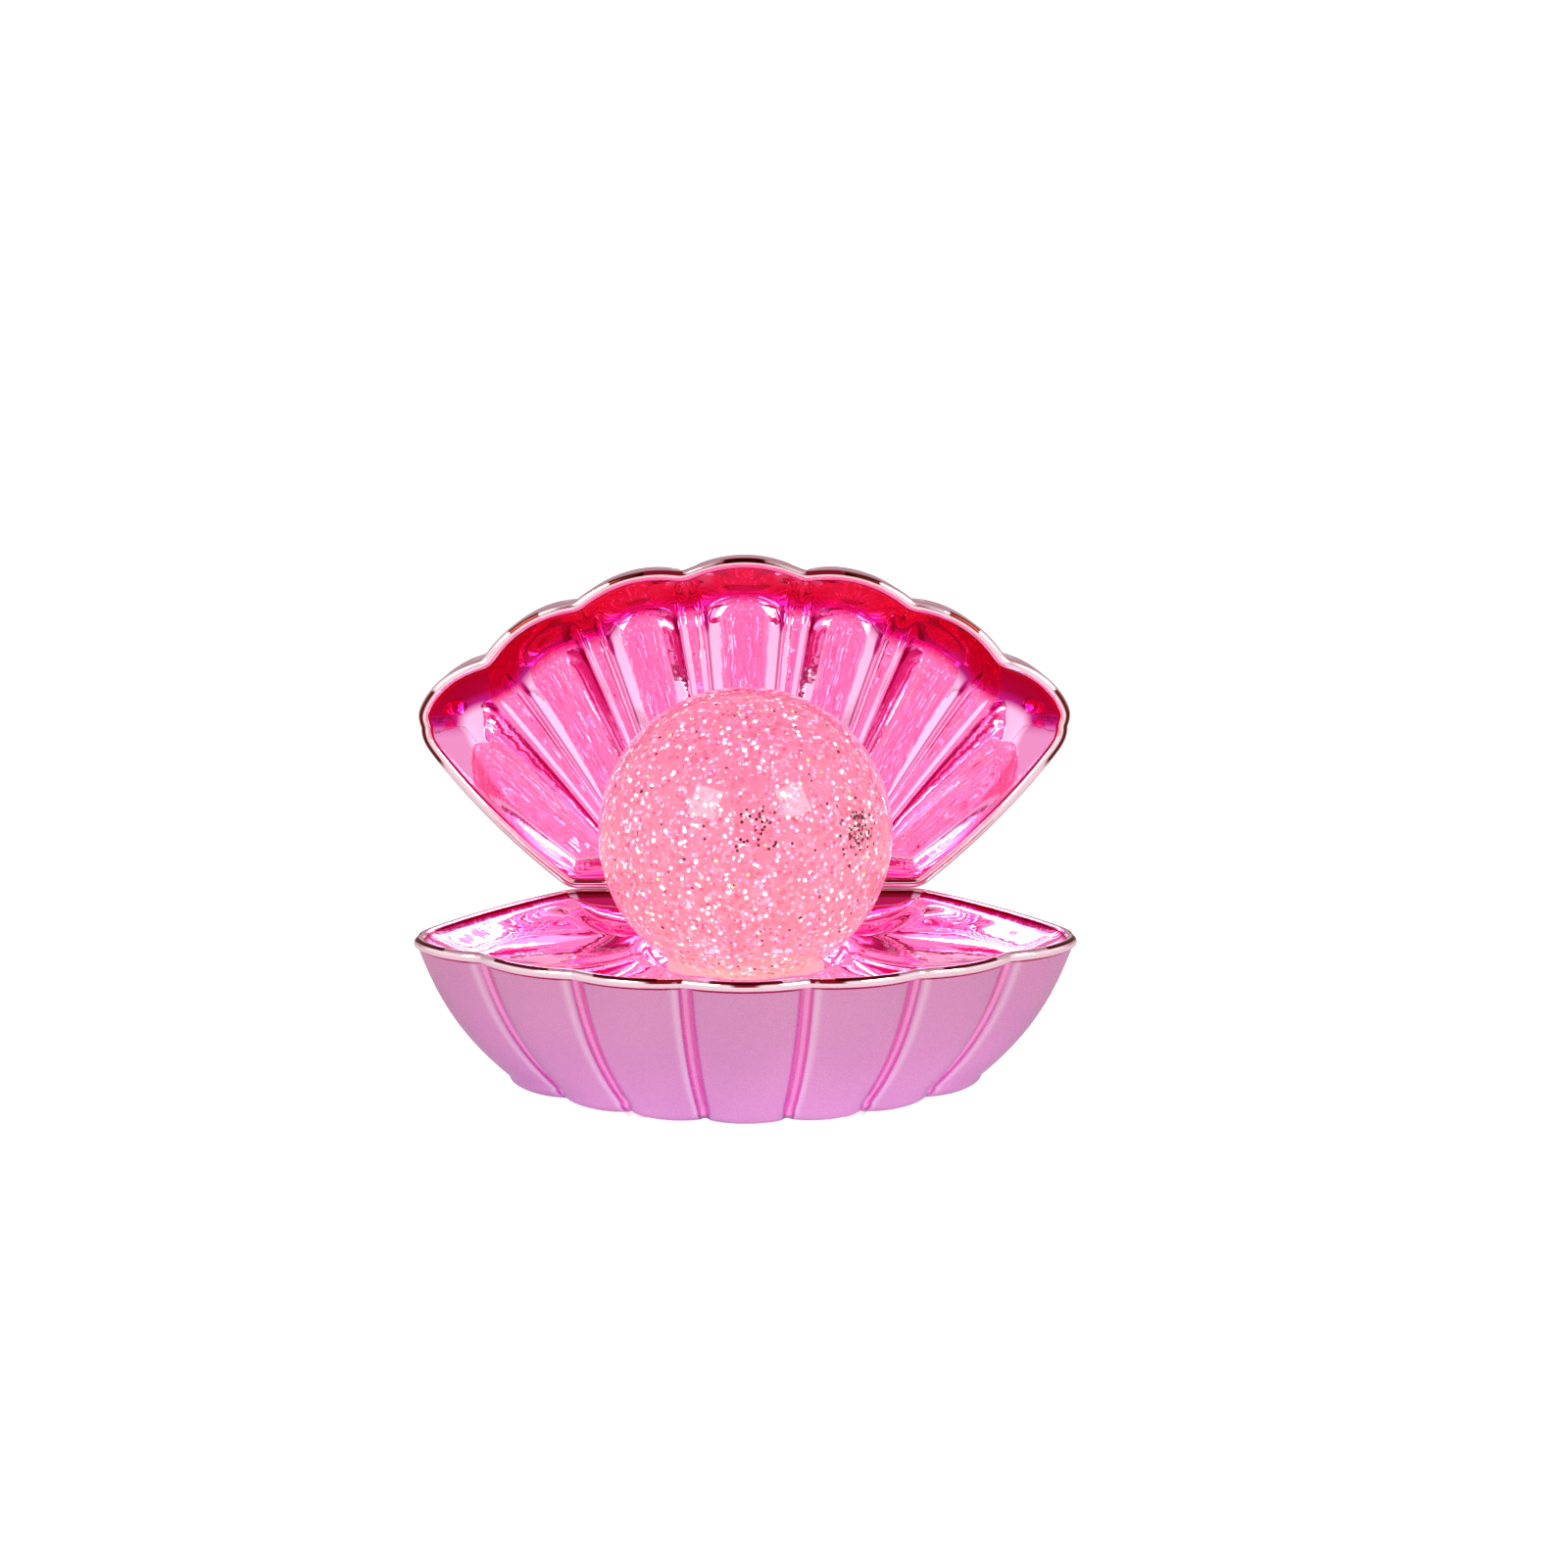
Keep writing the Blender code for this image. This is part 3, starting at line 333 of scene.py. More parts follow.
def nodes_of(mat):
    return mat.node_tree.nodes, mat.node_tree.links, mat.node_tree.nodes["Principled BSDF"]


def noise(mat, scale, detail=3.0, roughness=0.5):
    nodes, links, _ = nodes_of(mat)
    place = nodes.new("ShaderNodeTexCoord")
    tex = nodes.new("ShaderNodeTexNoise")
    tex.inputs["Scale"].default_value = scale
    tex.inputs["Detail"].default_value = detail
    tex.inputs["Roughness"].default_value = roughness
    links.new(place.outputs["Object"], tex.inputs["Vector"])
    return tex.outputs["Fac"]


def height_share(mat, low, high):
    """Height in the object, running 0..1 between two heights in mm."""
    nodes, links, _ = nodes_of(mat)
    place = nodes.new("ShaderNodeTexCoord")
    split = nodes.new("ShaderNodeSeparateXYZ")
    height = nodes.new("ShaderNodeMapRange")
    height.inputs["From Min"].default_value = low * MM
    height.inputs["From Max"].default_value = high * MM
    links.new(place.outputs["Object"], split.inputs["Vector"])
    links.new(split.outputs["Z"], height.inputs["Value"])
    return height.outputs["Result"]


def vertex_shade(mat):
    node = mat.node_tree.nodes.new("ShaderNodeAttribute")
    node.attribute_name = "shade"
    return node.outputs["Fac"]


def multiplied(mat, first, second):
    nodes, links, _ = nodes_of(mat)
    mix = nodes.new("ShaderNodeMix")
    mix.data_type = "RGBA"
    mix.blend_type = "MULTIPLY"
    mix.inputs["Factor"].default_value = 1.0
    links.new(first, mix.inputs[6])
    links.new(second, mix.inputs[7])
    return mix.outputs[2]


def ramp(mat, source, stops):
    """Colours by position along the source value."""
    nodes, links, _ = nodes_of(mat)
    node = nodes.new("ShaderNodeValToRGB")
    while len(node.color_ramp.elements) < len(stops):
        node.color_ramp.elements.new(0.5)
    for element, (position, colour) in zip(node.color_ramp.elements, stops):
        element.position = position
        element.color = (*colour, 1.0)
    links.new(source, node.inputs["Fac"])
    return node.outputs["Color"]


def bump(mat, source, strength, distance):
    nodes, links, shader = nodes_of(mat)
    node = nodes.new("ShaderNodeBump")
    node.inputs["Strength"].default_value = strength
    node.inputs["Distance"].default_value = distance
    links.new(source, node.inputs["Height"])
    links.new(node.outputs["Normal"], shader.inputs["Normal"])


def link(mat, source, socket):
    _, links, shader = nodes_of(mat)
    links.new(source, shader.inputs[socket])


def grey(value):
    return (value, value, value)


def plastic(name, colour, rough=0.4, grain=0.15, **inputs):
    """Moulded plastic: slight colour drift, fine skin grain."""
    mat = finish_of(name, colour, rough, **inputs)
    drift = noise(mat, 60.0)
    darker = tuple(c * 0.86 for c in colour)
    link(mat, ramp(mat, drift, ((0.3, darker), (0.7, colour))), "Base Color")
    skin = noise(mat, 2600.0, 2.0)
    link(mat, ramp(mat, skin, ((0.3, grey(rough * 0.85)), (0.7, grey(rough * 1.15)))), "Roughness")
    bump(mat, skin, grain, 0.00003)
    return mat


def metal(name, colour, rough):
    """Plain metal with a finely uneven polish."""
    mat = finish_of(name, colour, rough, 1.0)
    brushed = noise(mat, 900.0, 4.0)
    link(mat, ramp(mat, brushed, ((0.3, grey(rough * 0.7)), (0.7, grey(rough * 1.3)))), "Roughness")
    bump(mat, brushed, 0.1, 0.00002)
    return mat


SATIN_PINK = (0.74, 0.29, 0.55)
MIRROR_PINK = (0.98, 0.64, 0.93)


def satin_material():
    """Satin lacquer over metal: mauve at the rim, lighter lilac towards the foot as a painted floor
    reflection, a painted pink reflection in the grooves and a painted pale highlight beside them.
    """
    mat = finish_of("satin_pink_with_painted_reflection", SATIN_PINK, 0.30, 1.0, Emission_Strength=1.0)
    nodes, links, _ = nodes_of(mat)
    # painted floor reflection: lighter and more lilac towards the foot, darker mauve at the rim
    body = ramp(mat, height_share(mat, 0.0, RIM_Z), (
        (0.0, (0.84, 0.40, 0.78)), (0.45, (0.76, 0.345, 0.65)), (1.0, (0.72, 0.33, 0.56))))
    cloud = ramp(mat, noise(mat, 25.0, 2.0), (
        (0.35, (0.94, 0.93, 0.95)), (0.65, (1.03, 1.03, 1.02))))
    link(mat, multiplied(mat, body, cloud), "Base Color")
    # emission from the vertex shade: painted pale highlight beside each groove, painted pink
    # reflection in it, darker at its deepest
    centred = nodes.new("ShaderNodeMapRange")
    centred.inputs["From Min"].default_value = -1.0
    links.new(vertex_shade(mat), centred.inputs["Value"])
    link(mat, ramp(mat, centred.outputs["Result"], (
        (0.0, (0.10, 0.15, 0.12)), (0.5, grey(0.0)), (0.72, grey(0.0)), (0.88, (0.26, 0.012, 0.10)),
        (1.0, (0.08, 0.0, 0.01)))), "Emission Color")
    grain = noise(mat, 3500.0, 2.0)
    link(mat, ramp(mat, grain, ((0.3, grey(0.25)), (0.7, grey(0.32)))), "Roughness")
    bump(mat, grain, 0.10, 0.00003)
    return mat


def mirror_material(name, wall):
    """Tinted mirror coating over the vertex shade: pale bead with painted dark reflections, painted
    crimson reflection along the wall by shade, pink bed with a painted crimson glow.
    """
    mat = finish_of(name, MIRROR_PINK, 0.03, 1.0, Emission_Strength=1.0)
    shade = vertex_shade(mat)
    # bead: pale coating tint, then a painted dark reflection for the lobe crowns
    bead = ((0.0, (0.95, 0.72, 0.80)), (0.03, (0.90, 0.62, 0.70)), (0.08, (0.14, 0.015, 0.01)),
            (0.11, (0.14, 0.015, 0.01)))
    link(mat, ramp(mat, shade, bead + wall + ((1.0, MIRROR_PINK),)), "Base Color")
    # painted crimson glow over the bed, lifting its darker reflections
    link(mat, ramp(mat, shade, (
        (0.0, grey(0.0)), (0.48, grey(0.0)), (0.62, (0.06, 0.0, 0.01)),
        (0.8, (0.28, 0.005, 0.07)), (1.0, (0.28, 0.005, 0.07)))), "Emission Color")
    ripple = noise(mat, 130.0, 3.0, 0.45)
    link(mat, ramp(mat, ripple, ((0.3, grey(0.015)), (0.7, grey(0.04)))), "Roughness")
    bump(mat, ripple, 0.22, 0.0004)
    return mat


def glass_material():
    """Clear moulded wall with the faintest waviness."""
    mat = finish_of("clear_globe_wall", (1.0, 0.985, 0.99), 0.0,
                    Transmission_Weight=1.0, IOR=1.40)
    bump(mat, noise(mat, 70.0, 1.0), 0.02, 0.0003)
    return mat


def core_material():
    """Lit liquid behind the front glitter: salmon glow, warmer below, with out-of-focus flakes."""
    mat = finish_of("lit_glitter_liquid", (0.12, 0.02, 0.03), 0.5, Emission_Strength=1.0)
    nodes, links, _ = nodes_of(mat)
    glow = ramp(mat, height_share(mat, GLOBE_Z - 34.0, GLOBE_Z + 34.0), (
        (0.0, (1.06, 0.52, 0.40)), (0.16, (1.00, 0.30, 0.40)), (0.55, (0.97, 0.25, 0.40)),
        (1.0, (0.95, 0.22, 0.41))))
    place = nodes.new("ShaderNodeTexCoord")
    cells = nodes.new("ShaderNodeTexVoronoi")
    cells.inputs["Scale"].default_value = 900.0
    links.new(place.outputs["Object"], cells.inputs["Vector"])
    tone = nodes.new("ShaderNodeSeparateColor")
    links.new(cells.outputs["Color"], tone.inputs["Color"])
    speck = ramp(mat, tone.outputs["Red"], (
        (0.0, (0.80, 0.62, 0.68)), (0.2, (0.93, 0.88, 0.90)), (0.75, (1.0, 1.0, 1.0)),
        (0.92, (1.08, 1.25, 1.2)), (1.0, (1.15, 1.7, 1.6))))
    link(mat, multiplied(mat, glow, speck), "Emission Color")
    return mat


def flake_material(name, colour, glow, strength):
    """Foil flake: bright metal with fine tonal drift and a painted glow standing in for the light
    inside the globe.
    """
    mat = finish_of(name, colour, 0.2, 1.0,
                    Emission_Color=(*glow, 1.0), Emission_Strength=strength)
    drift = noise(mat, 1500.0, 1.0)
    darker = tuple(c * 0.8 for c in colour)
    link(mat, ramp(mat, drift, ((0.35, darker), (0.6, colour))), "Base Color")
    return mat


# ------------------------------------------------------------------------------------------------
# valves
# ------------------------------------------------------------------------------------------------
def taper_share(t):
    """How much of the taper is reached at share t of the depth."""
    return 0.55 * t + 0.45 * t ** 2.8


def tapered(points, share, taper):
    """Shrink a ring towards the outline of the flat back by the given share; the lobes swell."""
    width_scale, rear_shift, length_scale = taper
    goal = points * np.array((width_scale, length_scale)) + np.array((0.0, rear_shift))
    ring = points + (goal - points) * share
    return ring - inward(ring) * (FOOT_BULGE * share * CHANNEL)[:, None]


def around(points, sides):
    """Where lines from the middle of a rectangle to the points meet its sides."""
    left, right, rear, front = sides
    heart = np.array(((left + right) / 2.0, (rear + front) / 2.0))
    half = np.array(((right - left) / 2.0, (front - rear) / 2.0))
    ray = points - heart
    ring = heart + ray / np.abs(ray / half).max(axis=1)[:, None]
    for u in (left, right):
        for v in (rear, front):
            ring[np.linalg.norm(ring - np.array((u, v)), axis=1).argmin()] = (u, v)
    return ring


def valve_shell(name, place, depth, taper, node, door=None):
    """Closed outer shell of a valve; a door rectangle leaves an opening in its flat back."""
    straight = depth - FOOT_ROUND

    def ring(w, wall):
        points = tapered(RIM, taper_share(min(w, straight) / straight), taper)
        turn = max(0.0, w - straight) / FOOT_ROUND
        extra = FOOT_ROUND * (1.0 - math.sqrt(max(0.0, 1.0 - turn * turn))) * 1.2
        towards = (np.array((0.0, 36.0)) - points) / 45.0
        press = GROOVE * PRESS * (1.0 - 0.5 * turn)
        return points + inward(points) * (0.12 + wall + press[:, None]) + towards * extra

    middle = around(tapered(RIM, 1.0, taper), door or BACK_PATCH)
    rings = [place(middle, depth)]
    top = 2.0 * BEAD - 0.1
    turns = [math.sin(math.radians(a)) for a in (90, 78, 66, 54, 42, 30, 18, 8)]
    for t in turns:
        rings.append(place(ring(straight + FOOT_ROUND * t, 0.0), straight + FOOT_ROUND * t))
    for w in np.linspace(straight, top, 22):
        rings.append(place(ring(w, 0.0), w))
    for w in np.linspace(top, straight - 1.0, 8):
        rings.append(place(ring(w, SHELL_WALL), w))
    rings.append(place(ring(depth - SHELL_WALL - 0.5, SHELL_WALL), depth - SHELL_WALL - 0.5))
    rings.append(place(middle, depth - SHELL_WALL - 0.5))
    # painted light in the grooves: positive values paint a pink reflection in the groove, negative
    # values a pale highlight beside it
    lines = PRESS - PAINTED_HIGHLIGHT * (1.0 - smoothstep(PRESS / 0.2))
    # painted groove reflection and highlight: none on the flat back, full up the side, none on the
    # inner wall
    painted_light_fade = np.array([0.0, 0.0, 0.0, 0.12, 0.3, 0.5, 0.7, 0.85, 0.95] + [1.0] * 22 + [0.0] * 10)
    shade = (painted_light_fade[:, None] * lines[None, :]).ravel()
    return loft(name, rings, cap=door is None, slot="satin_pink", replaces=(node,), shade=shade)


def rim_rings(place):
    """Rings round the rolled bead, from its inner side over the top to the outside."""
    rings = []
    for degrees in BEAD_TURNS:
        turn = math.radians(degrees)
        rings.append(place(inset(BEAD - BEAD * math.cos(turn)), BEAD - BEAD * math.sin(turn)))
    return rings


def bead_painted_reflection(reach):
    """Painted dark reflection over the crown of each lobe on the outer shoulder of the rolled bead.
    """
    crown = 1.0 - smoothstep((ACROSS - reach) / 0.08)
    return [0.095 * crown if 40 < degrees < 80 else np.zeros(len(RIM)) for degrees in BEAD_TURNS]


def bead_under(place):
    return [place(inset(2.6), 2.0 * BEAD - 0.35), place(inset(0.9), 2.0 * BEAD - 0.42)]


def rim_distance(points):
    return np.linalg.norm(points[:, None, :] - inset(LIP)[None, :, :], axis=2).min(axis=1)


def lid_bowl(way, wall=0.0):
    """Points, depths and painted-reflection shades of the lid bowl; way is 0 at the hinge edge, 1
    at the rim.
    """
    lip = inset(LIP)
    knot = np.stack([FAN * KNOT_SPREAD * HINGE_HALF, np.full(len(lip), KNOT_V)], axis=1)
    points = knot + (lip - knot) * way
    span = np.linalg.norm(lip - knot, axis=1)
    rise = points[:, 1] - BED_V
    bed = BED_DEPTH + BED_LEAN * rise - (points[:, 0] ** 2 + rise ** 2) / (4.0 * BED_FOCUS)
    bed = BED_LEAST + 0.5 * (bed - BED_LEAST + np.sqrt((bed - BED_LEAST) ** 2 + 2.0))
    away = rim_distance(points)
    run = 5.0 + 13.0 * smoothstep((points[:, 1] - 20.0) / 45.0)
    climb = 1.0 - np.clip(1.0 - away / run, 0.0, 1.0) ** 3
    depth = 1.2 + (bed - 1.2) * climb
    reach = smoothstep((away - 2.0) / 8.0) * smoothstep(span / 40.0)
    pitch = 0.45 + 0.55 * smoothstep(way / 0.8)
    depth = depth + FLUTE * pitch * reach * (FLUTES - 0.6)
    if wall:
        depth = depth + wall + 1.3 * (1.0 - smoothstep(away / 12.0))
    # shade paints reflections: crimson near the wall, purple-pink low on the sides towards the
    # hinge
    shade = 0.18 + 0.82 * np.clip(away / run, 0.0, 1.0)
    low = 0.70 * (1.0 - smoothstep((points[:, 1] - 40.0) / 18.0))
    low = low + 0.12 * (1.0 - smoothstep((points[:, 1] - 8.0) / 10.0))
    shade = np.maximum(shade, low)
    # painted crimson reflection streaks along the ridges
    painted_ridge_streak = np.exp(-((ACROSS - 0.75) / 0.06) ** 2)
    shade = shade - 0.36 * painted_ridge_streak * reach * smoothstep((shade - 0.6) / 0.3)
    return points, depth, shade


def lid_liner():
    """Mirror lining of the lid: fluted bowl, rolled bead and the back of its wall."""
    count = 72
    path = 1.0 - (1.0 - np.linspace(0.0, 1.0, count)) ** 1.5
    path = 0.02 + 0.97 * path
    rings, shades = [], []
    for way in path:
        points, depth, shade = lid_bowl(way)
        rings.append(lid_place(points, depth))
        shades.append(shade)
    rings += reversed(rim_rings(lid_place))
    shades += reversed(bead_painted_reflection(0.30))
    rings += reversed(bead_under(lid_place))
    for way in (0.92, 0.85, 0.76, 0.62, 0.46, 0.30, 0.16, 0.06):
        points, depth, _ = lid_bowl(way, LINER_WALL)
        rings.append(lid_place(points, depth))
    shades = np.concatenate(shades)
    shades = np.concatenate([shades, np.zeros(len(rings) * len(RIM) - len(shades))])
    return loft("lid_liner_skin", rings, slot="mirror_pink", replaces=("lid_liner",), shade=shades)


def dish(share, extra=0.0):
    """Points and depths of the base's dish; share runs 0..1 from the rim to the seat."""
    axis = np.array((0.0, AXIS_V))
    start = inset(LIP)
    out = start - axis
    reach = np.linalg.norm(out, axis=1)[:, None]
    goal = axis + out / reach * SEAT_R
    points = start + (goal - start) * share
    bowl = math.sin(math.pi * min(1.0, share * 1.05)) ** 0.8
    depth = 1.2 + (DISH_DEPTH - 1.2) * bowl * 0.62 + 3.3 * share
    flute = DISH_FLUTE * (FLUTES - 0.6) * smoothstep(share * 4.0) * (1.0 - 0.85 * smoothstep(share))
    return points, depth + flute * smoothstep((reach[:, 0] - SEAT_R) / 30.0) + extra


def circle(radius):
    """A circle about the globe axis whose points follow the bearings of the rim points."""
    axis = np.array((0.0, AXIS_V))
    out = RIM - axis
    return axis + out / np.linalg.norm(out, axis=1)[:, None] * radius


def base_liner():
    """Mirror lining of the base: rolled bead, fluted dish and the rounded step of the seat."""
    count = 40
    shares = np.linspace(0.02, 1.0, count)
    rings = rim_rings(base_place)
    rings += [base_place(*dish(share)) for share in shares]
    for radius, depth in ((26.4, 5.0), (25.8, 5.9), (25.0, 6.9), (24.0, 7.9), (23.0, 8.7),
                          (22.0, 9.25), (20.9, 9.55), (19.6, 9.6), (SEAT_HOLE, 9.6)):
        rings.append(base_place(circle(radius), depth))
    for radius, depth in ((SEAT_HOLE, 11.0), (22.0, 10.9), (26.4, 7.2)):
        rings.append(base_place(circle(radius), depth))
    for share in shares[-2:2:-4]:
        rings.append(base_place(*dish(share, LINER_WALL)))
    rings += bead_under(base_place)
    shades = np.ones(len(rings) * len(RIM))
    bead = len(BEAD_TURNS) * len(RIM)
    # bead: painted dark reflection over the lobe crowns; first dish ring: painted crimson
    # reflection at the front, pink at the sides
    shades[:bead] = np.concatenate(bead_painted_reflection(0.55))
    shades[bead:bead + len(RIM)] = np.where(RIM[:, 1] > 50.0, 0.16, 0.5)
    return loft("base_liner_skin", rings, cap=False, slot="mirror_pink", replaces=("base_liner",),
                shade=shades)


# ------------------------------------------------------------------------------------------------
# globe and glitter
# ------------------------------------------------------------------------------------------------
def ball_profile(radius, foot, bands):
    """Half outline of a ball about the globe's centre, cut flat at a neck that ends at foot."""
    start = math.asin(NECK_R / radius)
    profile = [(0.0, foot), (NECK_R, foot)]
    for i in range(bands + 1):
        turn = start + (math.pi - start) * i / bands
        profile.append((radius * math.sin(turn), GLOBE_Z - radius * math.cos(turn)))
    return [(0.0 if r < 1e-6 else r, z) for r, z in profile]


def globe_wall():
    """Clear globe with its neck; the lit liquid and the flakes are cast into it."""
    return lathe("globe_wall", ball_profile(GLOBE_R, GLOBE_FOOT_Z, 72), 128, slot="clear_acrylic",
                 replaces=("globe",))


def glow_core():
    """The lit body of liquid inside the globe."""
    return lathe("lit_liquid", ball_profile(CORE_R, CORE_FOOT_Z, 60), 96, slot="glitter_liquid",
                 replaces=("glitter_liquid",))


def glitter(name, centres, normals, sizes, kinds, materials):
    """Thin closed hexagonal flakes as one mesh; kinds picks each flake's material slot."""
    count = len(centres)
    normals = normals / np.linalg.norm(normals, axis=1)[:, None]
    up, right = np.array([[0.0, 0.0, 1.0]]), np.array([[1.0, 0.0, 0.0]])
    helper = np.where(np.abs(normals[:, 2:3]) < 0.9, up, right)
    side = np.cross(normals, helper)
    side /= np.linalg.norm(side, axis=1)[:, None]
    other = np.cross(normals, side)
    spin = RNG.uniform(0.0, math.pi, count)
    verts = np.zeros((count, 12, 3))
    for k in range(6):
        turn = spin + k * math.pi / 3.0
        rim = side * np.cos(turn)[:, None] + other * np.sin(turn)[:, None]
        rim = rim * sizes[:, None]
        verts[:, k] = centres + rim + normals * 0.03
        verts[:, 6 + k] = centres + rim - normals * 0.03
    faces, slots = [], []
    for i in range(count):
        a = i * 12
        faces.append(tuple(a + k for k in range(6)))
        faces.append(tuple(a + 11 - k for k in range(6)))
        for k in range(6):
            faces.append((a + k, a + 6 + k, a + 6 + (k + 1) % 6, a + (k + 1) % 6))
        slots += [int(kinds[i])] * 8
    mesh = bpy.data.meshes.new(name)
    mesh.from_pydata([tuple(v) for v in verts.reshape(-1, 3) * MM], [], faces)
    for mat in materials:
        mesh.materials.append(mat)
    mesh.polygons.foreach_set("material_index", slots)
    obj = bpy.data.objects.new(name, mesh)
    bpy.context.scene.collection.objects.link(obj)
    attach(obj, "case")
    return obj


def scatter_glitter():
    """Flakes drifting in the thin layer between the lit core and the globe's wall."""
    count = 6400
    centre = np.array(GLOBE_C) / MM
    out = RNG.normal(size=(count, 3))
    out /= np.linalg.norm(out, axis=1)[:, None]
    radius = CORE_R + 0.05 + 1.4 * RNG.random(count) ** 0.8
    centres = centre + out * radius[:, None]
    in_neck = (np.hypot(out[:, 0], out[:, 1]) * radius < NECK_R - 0.5) & (out[:, 2] < 0.0)
    keep = ~in_neck
    normals = out + RNG.normal(size=(count, 3)) * 0.45
    sizes = RNG.choice([0.34, 0.45, 0.55], count, p=[0.3, 0.5, 0.2])
    kinds = RNG.choice(7, count, p=[0.13, 0.20, 0.38, 0.03, 0.05, 0.18, 0.03])
    sizes = np.where(kinds == 0, sizes + 0.14, sizes)
    return centre, centres[keep], normals[keep], sizes[keep], kinds[keep]


def clump(centre, aim, spread, count, kinds, weights):
    """Flakes stuck flat on the inside of the wall around one direction."""
    aim = np.array(aim, float) / np.linalg.norm(aim)
    out = aim + RNG.normal(size=(count, 3)) * spread
    out /= np.linalg.norm(out, axis=1)[:, None]
    centres = centre + out * (CORE_R + 1.5 + RNG.random(count)[:, None] * 0.2)
    return centres, out + RNG.normal(size=(count, 3)) * 0.04, RNG.choice(kinds, count, p=weights)


FLAKES = [
    flake_material("flake_white", (0.95, 0.93, 0.95), (1.0, 0.92, 0.96), 0.75),
    flake_material("flake_pale_pink", (0.95, 0.65, 0.75), (1.0, 0.55, 0.66), 0.75),
    flake_material("flake_pink", (0.95, 0.40, 0.55), (1.0, 0.32, 0.46), 0.80),
    flake_material("flake_gold", (0.95, 0.85, 0.40), (1.0, 0.82, 0.30), 0.75),
    flake_material("flake_lilac", (0.75, 0.45, 0.95), (0.85, 0.45, 1.0), 0.70),
    flake_material("flake_rose", (0.75, 0.15, 0.28), (0.75, 0.10, 0.20), 0.65),
    flake_material("flake_dark", (0.22, 0.02, 0.05), (0.16, 0.01, 0.03), 0.3),
    flake_material("flake_grey", (0.62, 0.52, 0.50), (0.55, 0.40, 0.42), 0.6),
]

# ------------------------------------------------------------------------------------------------
# build
# ------------------------------------------------------------------------------------------------
SATIN = satin_material()
# lid walls: painted crimson and purple reflection, running into the pink bed
MIRROR = mirror_material("mirror_pink_with_painted_reflection", (
    (0.18, (0.47, 0.001, 0.02)), (0.48, (0.46, 0.002, 0.05)), (0.62, (0.56, 0.014, 0.25)),
    (0.80, MIRROR_PINK)))
# dish: painted crimson reflection just inside the bead, running into the pink bed
DISH_MIRROR = mirror_material("mirror_pink_dish_with_painted_reflection", (
    (0.16, (0.60, 0.010, 0.05)), (0.24, (0.85, 0.20, 0.50)), (0.40, MIRROR_PINK)))

base_skin = valve_shell("base_shell_skin", base_place, BASE_DEPTH, BASE_TAPER, "base_shell", DOOR)
lid_skin = valve_shell("lid_shell_skin", lid_place, LID_DEPTH, LID_TAPER, "lid_shell")
below = BASE_DEPTH + 3.0
underside = [cutter([round_ring(base_place, u, v, SINK_R, w) for w in (below, RIM_Z - SINK_TOP_Z)])
             for u, v in POSTS]
left, right, rear, front = SWITCH_SLOT
corners = np.array(((left, rear), (right, rear), (right, front), (left, front)))
underside.append(cutter([base_place(corners, w) for w in (below, RIM_Z - SLOT_TOP_Z)]))
carve(base_skin, underside)
for skin in (base_skin, lid_skin):
    skin.data.materials.clear()
    skin.data.materials.append(SATIN)
base_liner().data.materials.append(DISH_MIRROR)
lid_liner().data.materials.append(MIRROR)
globe_wall().data.materials.append(glass_material())
glow_core().data.materials.append(core_material())

RIGHT_CLUMP = (0.79, -0.60, 0.20)
CENTRE_CLUMP = (0.09, -0.95, 0.28)
CLUMP_SPREAD = 0.080
middle, spots, facing, size, kind = scatter_glitter()
for aim, number, choice, odds in (
        (RIGHT_CLUMP, 210, (0, 5, 6, 7), (0.10, 0.30, 0.38, 0.22)),
        (CENTRE_CLUMP, 34, (5, 6), (0.45, 0.55))):
    at, turned, sorts = clump(middle, aim, CLUMP_SPREAD, number, choice, odds)
    spots = np.vstack([spots, at])
    facing = np.vstack([facing, turned])
    size = np.concatenate([size, np.full(number, 0.45)])
    kind = np.concatenate([kind, sorts])
glitter("glitter_flakes", spots, facing, size, kind, FLAKES)

# carried-over CAD pieces
CARRIED = {
    "white_plastic": plastic("white_moulding", (0.86, 0.85, 0.82), 0.4),
    "seal_rubber": plastic("black_seal", (0.02, 0.02, 0.02), 0.6, 0.3),
    "magnet": metal("nickel_magnet", (0.80, 0.78, 0.74), 0.18),
    "frosted_plastic": plastic("frosted_seat", (0.60, 0.25, 0.30), 0.5, 0.1,
                               Emission_Color=(1.0, 0.36, 0.42, 1.0), Emission_Strength=0.75),
    "circuit_board": plastic("green_board", (0.02, 0.16, 0.07), 0.35),
    "led_lens": plastic("lit_lens", (1.0, 0.9, 0.7), 0.2, 0.05,
                        Emission_Color=(1.0, 0.75, 0.55, 1.0), Emission_Strength=4.0),
    "black_plastic": plastic("black_moulding", (0.025, 0.025, 0.027), 0.42, 0.3),
    "spring_steel": metal("sprung_contact", (0.78, 0.76, 0.72), 0.22),
    "cell_wrap": plastic("cell_film", (0.05, 0.06, 0.09), 0.28, 0.05),
    "painted_bracket": SATIN,
    # the pad's emission is a painted glow lifting it out of the shade under the shell
    "clear_rubber": plastic("clear_pad_with_painted_glow", (0.96, 0.90, 0.94), 0.2, 0.05,
                            Emission_Color=(0.90, 0.74, 0.84, 1.0), Emission_Strength=0.45),
    "lead_red": plastic("red_lead", (0.60, 0.03, 0.03), 0.45),
    "lead_black": plastic("black_lead", (0.02, 0.02, 0.02), 0.45),
    "steel": metal("zinc_steel", (0.66, 0.66, 0.68), 0.28),
    "satin_pink": SATIN,
    "mirror_pink": MIRROR,
}
for entry in frame["record"]["subparts"]:
    node = NODES[entry["node"]]
    if entry["material_slot"] in CARRIED:
        node.data.materials.clear()
        node.data.materials.append(CARRIED[entry["material_slot"]])


